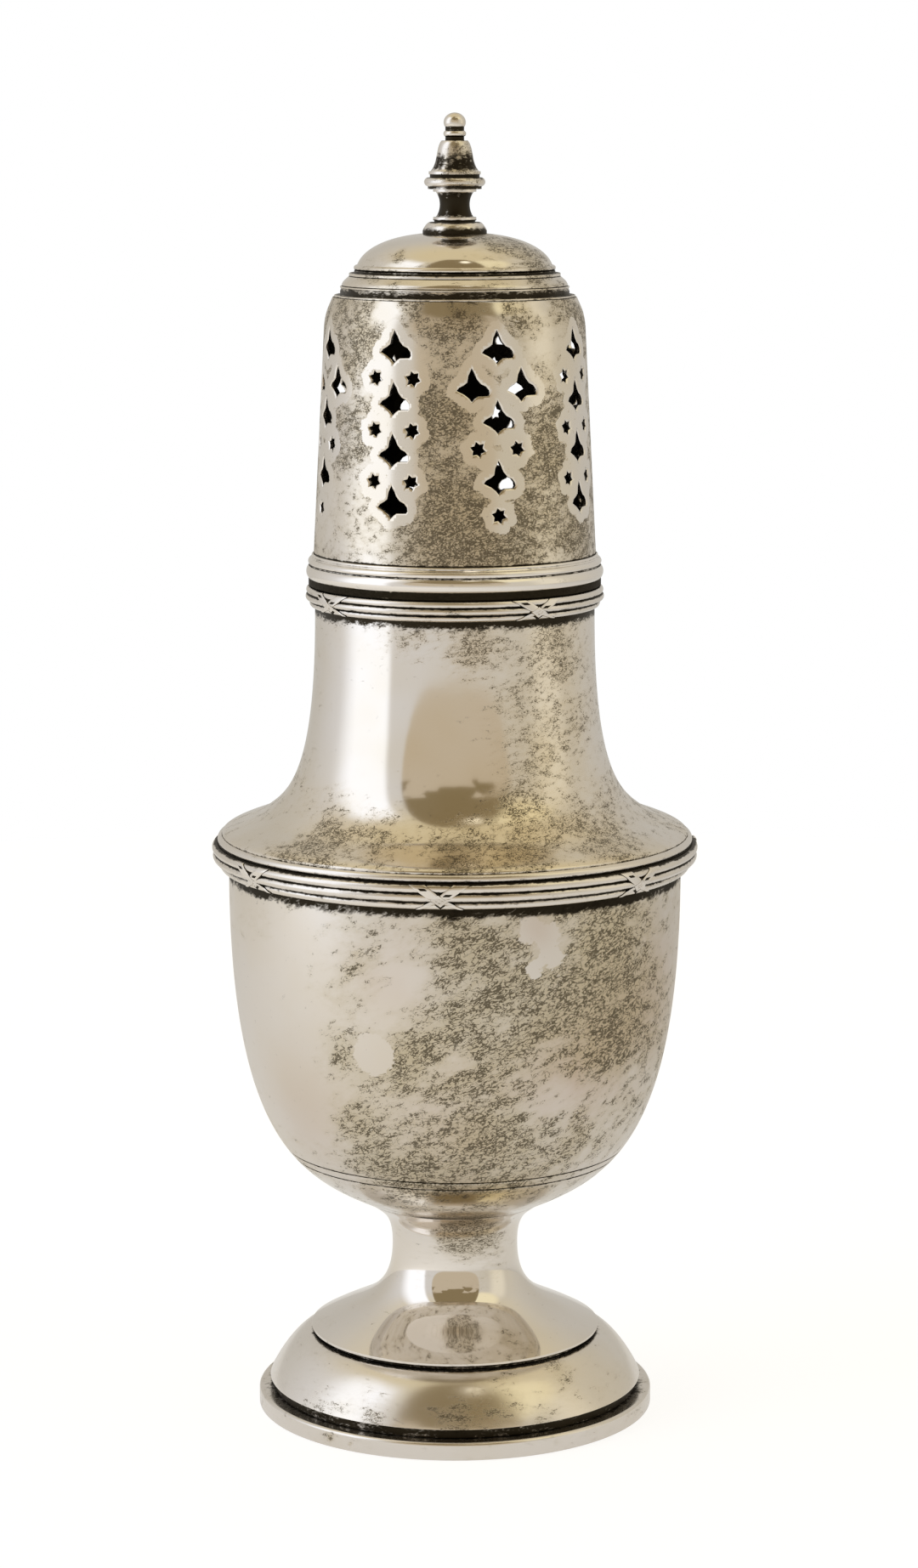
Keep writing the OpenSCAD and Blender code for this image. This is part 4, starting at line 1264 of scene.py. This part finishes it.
finial_outline = [
    at(0, finial_low.z),
    at(peg_r, finial_low.z),
    at(peg_r, crown_z),
    at(flange_r, crown_z),
    *curve(flange_top, flange_top + at(flange_pull, finial_edge_h), cushion_top + at(cushion_pull, 0),
           cushion_top, steps=12),
    cushion_top,
    at(fillet_r - finial_groove_d, cushion_top[1]),
    at(fillet_r - finial_groove_d, cushion_top[1] + finial_groove_h),
    at(fillet_r, spool_z - fillet_h),
    at(fillet_r, spool_z),
    *curve(at(spool_end, spool_z), at(spool_r, spool_z + spool_pull), at(spool_r, ring_z - spool_pull),
           at(spool_end, ring_z), steps=20),
    at(spool_end, ring_z),
    at(fillet_r, ring_z),
    at(fillet_r, ring_z + ring_step_h),
    at(ring_r - ring_step_d, ring_z + ring_step_h),
    at(ring_r - ring_step_d, ring_z + 2 * ring_step_h),
    *round_edge(ring_r, ring_z + 2 * ring_step_h, torus_h),
    at(bell_r - finial_groove_d, bell_z - finial_edge_h),
    at(bell_r - finial_groove_d, bell_z),
    at(bell_r, bell_z),
    at(bell_r, bell_z + finial_edge_h),
    *curve(at(bell_r - bell_lip, bell_z + finial_edge_h), at(bell_r, bell_z) + bell_waist,
           at(bell_r, bead_z) + bell_top_pull, at(stalk_r + stalk_flare, bead_z), steps=20),
    at(stalk_r + stalk_flare, bead_z),
    at(stalk_r, bead_z),
    at(stalk_r, bead_z + stalk_h),
    *round_edge(bead_ring_r, bead_z + stalk_h, bead_ring_h - 2 * stalk_h),
    at(stalk_r, knob_z - stalk_h),
    at(stalk_r, knob_z),
    *knob,
    at(0, finial_high.z),
]
finial = turned("turned_finial", refined(softened(finial_outline, arris / 2), longest=0.0003), steps=128)
tarnish(finial, 0.15, [(10, bell_z + bell_h / 2, 0.0025, 0.7), (-60, bell_z + bell_h, 0.002, -0.5)])
# Dirt and painted shade on the spool, the bell and the necks; below 0 on the lips and fillets.
dirt_and_shade_bands += [("turned_finial", *dark_band) for dark_band in (
    (spool_z + spool_h / 2, 0.0015, 1.0),
    (bell_z + 0.3 * bell_h, 0.0015, 0.5),
    (bell_z + finial_edge_h / 2, 0.0003, -0.6),
    (ring_z + ring_step_h / 2, 0.00016, -1.0),
    (spool_z - fillet_h / 2, 0.0002, -0.4),
    (crown_z + finial_edge_h, 0.0005, 0.4),
    (cushion_top[1] + finial_groove_h / 2, 0.0002, 0.7),
    (ring_z + 1.5 * ring_step_h, 0.00016, 0.7),
    (bell_z - finial_edge_h / 2, 0.0002, 0.8),
    (bead_z + stalk_h / 2, 0.00025, 0.8),
    (knob_z - stalk_h / 2, 0.00022, 0.8),
)]
finial.data.materials.append(silver("finial_silver", gloss=0.16))
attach(finial, "cover")
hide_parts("finial")

# Dirt and painted shade in the hollows: what the polishing cloth can't reach stays black, and the shade that
# falls there is painted in with it. It is reckoned from the outlines, by how much of the room in front of
# each place is shut off. The cover is polished off the vessel, so each counts alone. The dirt and shade that
# are added are uneven round a piece, in waves given by count, start and share.
cover_pieces = ("collar_tube", "pierced_cover", "cover_moulding", "stamped_crown", "turned_finial")
narrow_reach = 0.001
wide_reach = 0.0032
wide_share = 0.9
inside_dark = 0.8
facing_down = -0.5
uneven_waves = ((2, -0.4, 0.16), (7, 2.3, 0.14), (17, 0.5, 0.12))


def shut_in(line, walls, reach):
    """Share of the half circle before each point of an outline that is shut off within reach."""
    off_wall = 0.00001
    widest = 80
    looks = 13
    nothing = 1e-12
    facing = facings(line)
    start = line + off_wall * facing
    lowest, highest = line[:, 1].min() - reach, line[:, 1].max() + reach
    near = (walls[:, :, 1].min(1) < highest) & (walls[:, :, 1].max(1) > lowest)
    first, along = walls[near, 0], walls[near, 1] - walls[near, 0]
    gap = first[None] - start[:, None]
    shut, whole = np.zeros(len(line)), 0
    for turn in np.radians(np.linspace(-widest, widest, looks)):
        way = facing @ np.array(((math.cos(turn), math.sin(turn)), (-math.sin(turn), math.cos(turn))))
        cross = way[:, None, 0] * along[None, :, 1] - way[:, None, 1] * along[None, :, 0]
        cross = np.where(abs(cross) < nothing, nothing, cross)
        distance = (gap[..., 0] * along[None, :, 1] - gap[..., 1] * along[None, :, 0]) / cross
        share = (gap[..., 0] * way[:, None, 1] - gap[..., 1] * way[:, None, 0]) / cross
        hit = (share >= 0) & (share <= 1) & (distance > 0)
        nearest = np.where(hit, distance, reach).min(axis=1)
        shut += math.cos(turn) * (1 - nearest / reach).clip(0, 1)
        whole += math.cos(turn)
    return shut / whole


def walls_round(name):
    """The stretches of the outlines of all the pieces that move with one piece."""
    fellows = [line for other, line in outlines.items() if (other in cover_pieces) == (name in cover_pieces)]
    return np.concatenate([np.stack((line, np.roll(line, -1, axis=0)), axis=1) for line in fellows])


for name, line in outlines.items():
    piece = bpy.data.objects[name]
    walls = walls_round(name)
    r, angle, z = corner_points(piece)
    nearest = nearest_on(line, r, z)
    dirt = np.maximum(shut_in(line, walls, narrow_reach), wide_share * shut_in(line, walls, wide_reach))
    dirt = dirt[nearest]
    if name in dark_inside:
        out, up = facings(line)[nearest].T
        dirt[(out < facing_in) | (up < facing_down)] = inside_dark
    uneven = 1 + sum(share * np.sin(count * angle + start) for count, start, share in uneven_waves)
    for dark_piece, dark_z, spread, strength in dirt_and_shade_bands:
        if dark_piece == name:
            dirt += strength * uneven * np.exp(-(((z - dark_z) / spread) ** 2))
    paint(piece, "dirt", dirt)

# Floor: a pale round sheet under the caster. It is white to the camera, falls off to the right and to the
# back in the silver, and keeps the soft shadow.
floor_r = 0.45
floor_sides = 96
floor_drop = 0.00003
floor_white = 0.79
floor_in_silver = (0.77, 0.38)
floor_behind = 0.7
floor_shade = 0.36


def straight_ray(tree):
    """1 for a ray from the camera or through glass, 0 for others."""
    path = tree.nodes.new("ShaderNodeLightPath").outputs
    return reckon(tree, "MAXIMUM", path["Is Camera Ray"], path["Is Transmission Ray"])


around = np.linspace(0, 2 * math.pi, floor_sides, endpoint=False)
floor_edge = [(floor_r * math.cos(a), floor_r * math.sin(a), -floor_drop) for a in around]
floor = shaped("floor", floor_edge, [tuple(range(floor_sides))])
floor_paint = bpy.data.materials.new("floor_paint")
floor_paint.use_nodes = True
tree = floor_paint.node_tree
tree.nodes.clear()
spot = add(tree, "ShaderNodeTexCoord", {}).outputs["Object"]
place = add(tree, "ShaderNodeSeparateXYZ", {0: spot}).outputs
aside = ramp(tree, place["X"], -floor_r, floor_r, *floor_in_silver)
farther = ramp(tree, place["Y"], -floor_r / 4, floor_r / 2, 1.0, floor_behind)
mirrored = reckon(tree, "MULTIPLY", aside, farther)
metal_ray = tree.nodes.new("ShaderNodeLightPath").outputs["Is Glossy Ray"]
seen = reckon(tree, "MULTIPLY", straight_ray(tree), floor_white)
white = add(tree, "ShaderNodeEmission", {"Strength": reckon(tree, "MULTIPLY_ADD", metal_ray, mirrored, seen)})
shade = add(tree, "ShaderNodeBsdfDiffuse", {"Color": (floor_shade, floor_shade, floor_shade, 1)})
summed = add(tree, "ShaderNodeAddShader", {0: shade.outputs[0], 1: white.outputs[0]})
add(tree, "ShaderNodeOutputMaterial", {"Surface": summed.outputs[0]})
floor.data.materials.append(floor_paint)

# Studio: a pale tent, cooler on the left and warmer on the right and overhead, with a tall soft window on
# each side, a warm lamp high on the right, and the darker room in front of the table, which the silver shows.
# In degrees of azimuth and height, a glass has two ends and their edges, a patch its middle and half size.
tent_left = (0.76, 0.76, 0.77, 1)
tent_right = (0.66, 0.62, 0.53, 1)
tent_back = (0.58, 0.56, 0.52, 1)
tent_back_from = 0.3
tent_back_full = 0.9
ceiling = (0.76, 0.67, 0.46, 1)
ceiling_ends = (50, 120, 25, 5)
left_glass = ((-96, -54, 13, 3), (-12, 56, 6, 8))
left_white = (1.25, 1.31, 1.42, 1)
right_glass = ((66, 94, 8, 8), (-10, 40, 6, 8))
right_cream = (0.86, 0.81, 0.68, 1)
lamp_patch = ((52, 36), (50, 16))
lamp_soft = 0.5
lamp_warm = (0.98, 0.90, 0.64, 1)
spot_patch = ((22, 10), (66, 5))
spot_soft = 0.3
spot_white = (1.5, 1.42, 1.2, 1)
oval = 2.0
room_patch = ((1, 42), (38, 40))
room_square = 5.0
room_soft = 0.1
room_wall = (0.60, 0.52, 0.40, 1)
room_dark = (0.27, 0.21, 0.115, 1)
room_ragged = 14
room_dark_ends = (29 + room_ragged / 2, 120, 0.8, 1)
room_blocks = 5.0
plain_white = (1, 1, 1, 1)
world = bpy.data.worlds.new("studio")
world.use_nodes = True
bpy.context.scene.world = world
tree = world.node_tree
tree.nodes.clear()


def between(value, low, high, low_edge, high_edge):
    """1 where a value lies between two others, in degrees, with a soft edge at each."""
    ends = [
        step(tree, value, math.radians(end - edge), math.radians(end + edge))
        for end, edge in ((low, low_edge), (high, -high_edge))
    ]
    return reckon(tree, "MULTIPLY", *ends)


def rounded(patch, power, edge):
    """1 inside a patch of the surroundings, which is an oval or, with a higher power, squarer."""
    total = 0.0
    for value, (middle, half) in zip((azimuth, height), patch):
        away = reckon(tree, "ABSOLUTE", reckon(tree, "SUBTRACT", value, math.radians(middle)))
        share = reckon(tree, "DIVIDE", away, math.radians(half))
        total = reckon(tree, "ADD", reckon(tree, "POWER", share, power), total)
    return step(tree, total, 1 + edge, 1 - edge)


direction = tree.nodes.new("ShaderNodeTexCoord").outputs["Generated"]
way = add(tree, "ShaderNodeSeparateXYZ", {0: direction}).outputs
azimuth = reckon(tree, "ARCTAN2", way["X"], reckon(tree, "MULTIPLY", way["Y"], -1.0))
height = reckon(tree, "ARCSINE", way["Z"])
room = blend(tree, ramp(tree, way["X"], -1.0, 1.0), tent_left, tent_right)
room = blend(tree, ramp(tree, way["Y"], tent_back_from, tent_back_full), room, tent_back)
room = blend(tree, between(height, *ceiling_ends), room, ceiling)
for (wide, tall), colour in ((left_glass, left_white), (right_glass, right_cream)):
    glass = reckon(tree, "MULTIPLY", between(azimuth, *wide), between(height, *tall))
    room = blend(tree, glass, room, colour)
room = blend(tree, rounded(lamp_patch, oval, lamp_soft), room, lamp_warm)
front_room = rounded(room_patch, room_square, room_soft)
room = blend(tree, front_room, room, room_wall)
blocks = add(tree, "ShaderNodeTexVoronoi", {"Vector": direction, "Scale": room_blocks}, distance="CHEBYCHEV")
cell = add(tree, "ShaderNodeSeparateColor", {0: blocks.outputs["Color"]}).outputs[0]
uneven = reckon(tree, "MULTIPLY_ADD", cell, math.radians(room_ragged), height)
dark_part = reckon(tree, "MULTIPLY", front_room, between(uneven, *room_dark_ends))
room = blend(tree, dark_part, room, room_dark)
room = blend(tree, rounded(spot_patch, oval, spot_soft), room, spot_white)
background = add(tree, "ShaderNodeBackground", {"Color": blend(tree, straight_ray(tree), room, plain_white)})
add(tree, "ShaderNodeOutputWorld", {"Surface": background.outputs[0]})


def window(name, azimuth, distance, height, width, tall, brightness):
    """A soft area lamp that stands round the caster and faces it. The silver shows the painted window."""
    lamp = bpy.data.lights.new(name, "AREA")
    lamp.shape = "RECTANGLE"
    lamp.size, lamp.size_y = width, tall
    lamp.energy = brightness * math.pi * width * tall
    stand = bpy.data.objects.new(name, lamp)
    turn = math.radians(azimuth)
    stand.location = (distance * math.sin(turn), -distance * math.cos(turn), height)
    stand.rotation_euler = (math.pi / 2, 0, turn)
    stand.visible_camera = False
    stand.visible_glossy = False
    bpy.context.collection.objects.link(stand)


window("left_window", azimuth=-62, distance=0.9, height=0.35, width=0.7, tall=0.8, brightness=0.75)
window("right_window", azimuth=80, distance=1.0, height=0.4, width=0.6, tall=0.9, brightness=0.3)

# Camera: at the height and the angle of the photograph, with its framing. Its place and its lens were fitted
# to the caster's outline.
image_h = 1845
focal_px = 4677.7
sensor = 36
camera_distance = 0.53727
camera_z = 0.17698
camera_pitch = 9.48
camera_aside = 0.00057
camera_near = 0.01
camera_far = 10
eye = bpy.data.cameras.new("camera")
eye.sensor_width = sensor
eye.lens = focal_px / image_h * sensor
eye.clip_start, eye.clip_end = camera_near, camera_far
camera = bpy.data.objects.new("camera", eye)
camera.location = (camera_aside, -camera_distance, camera_z)
camera.rotation_euler = (math.radians(90 - camera_pitch), 0, 0)
bpy.context.collection.objects.link(camera)
bpy.context.scene.camera = camera
bpy.context.scene.view_settings.view_transform = "Standard"
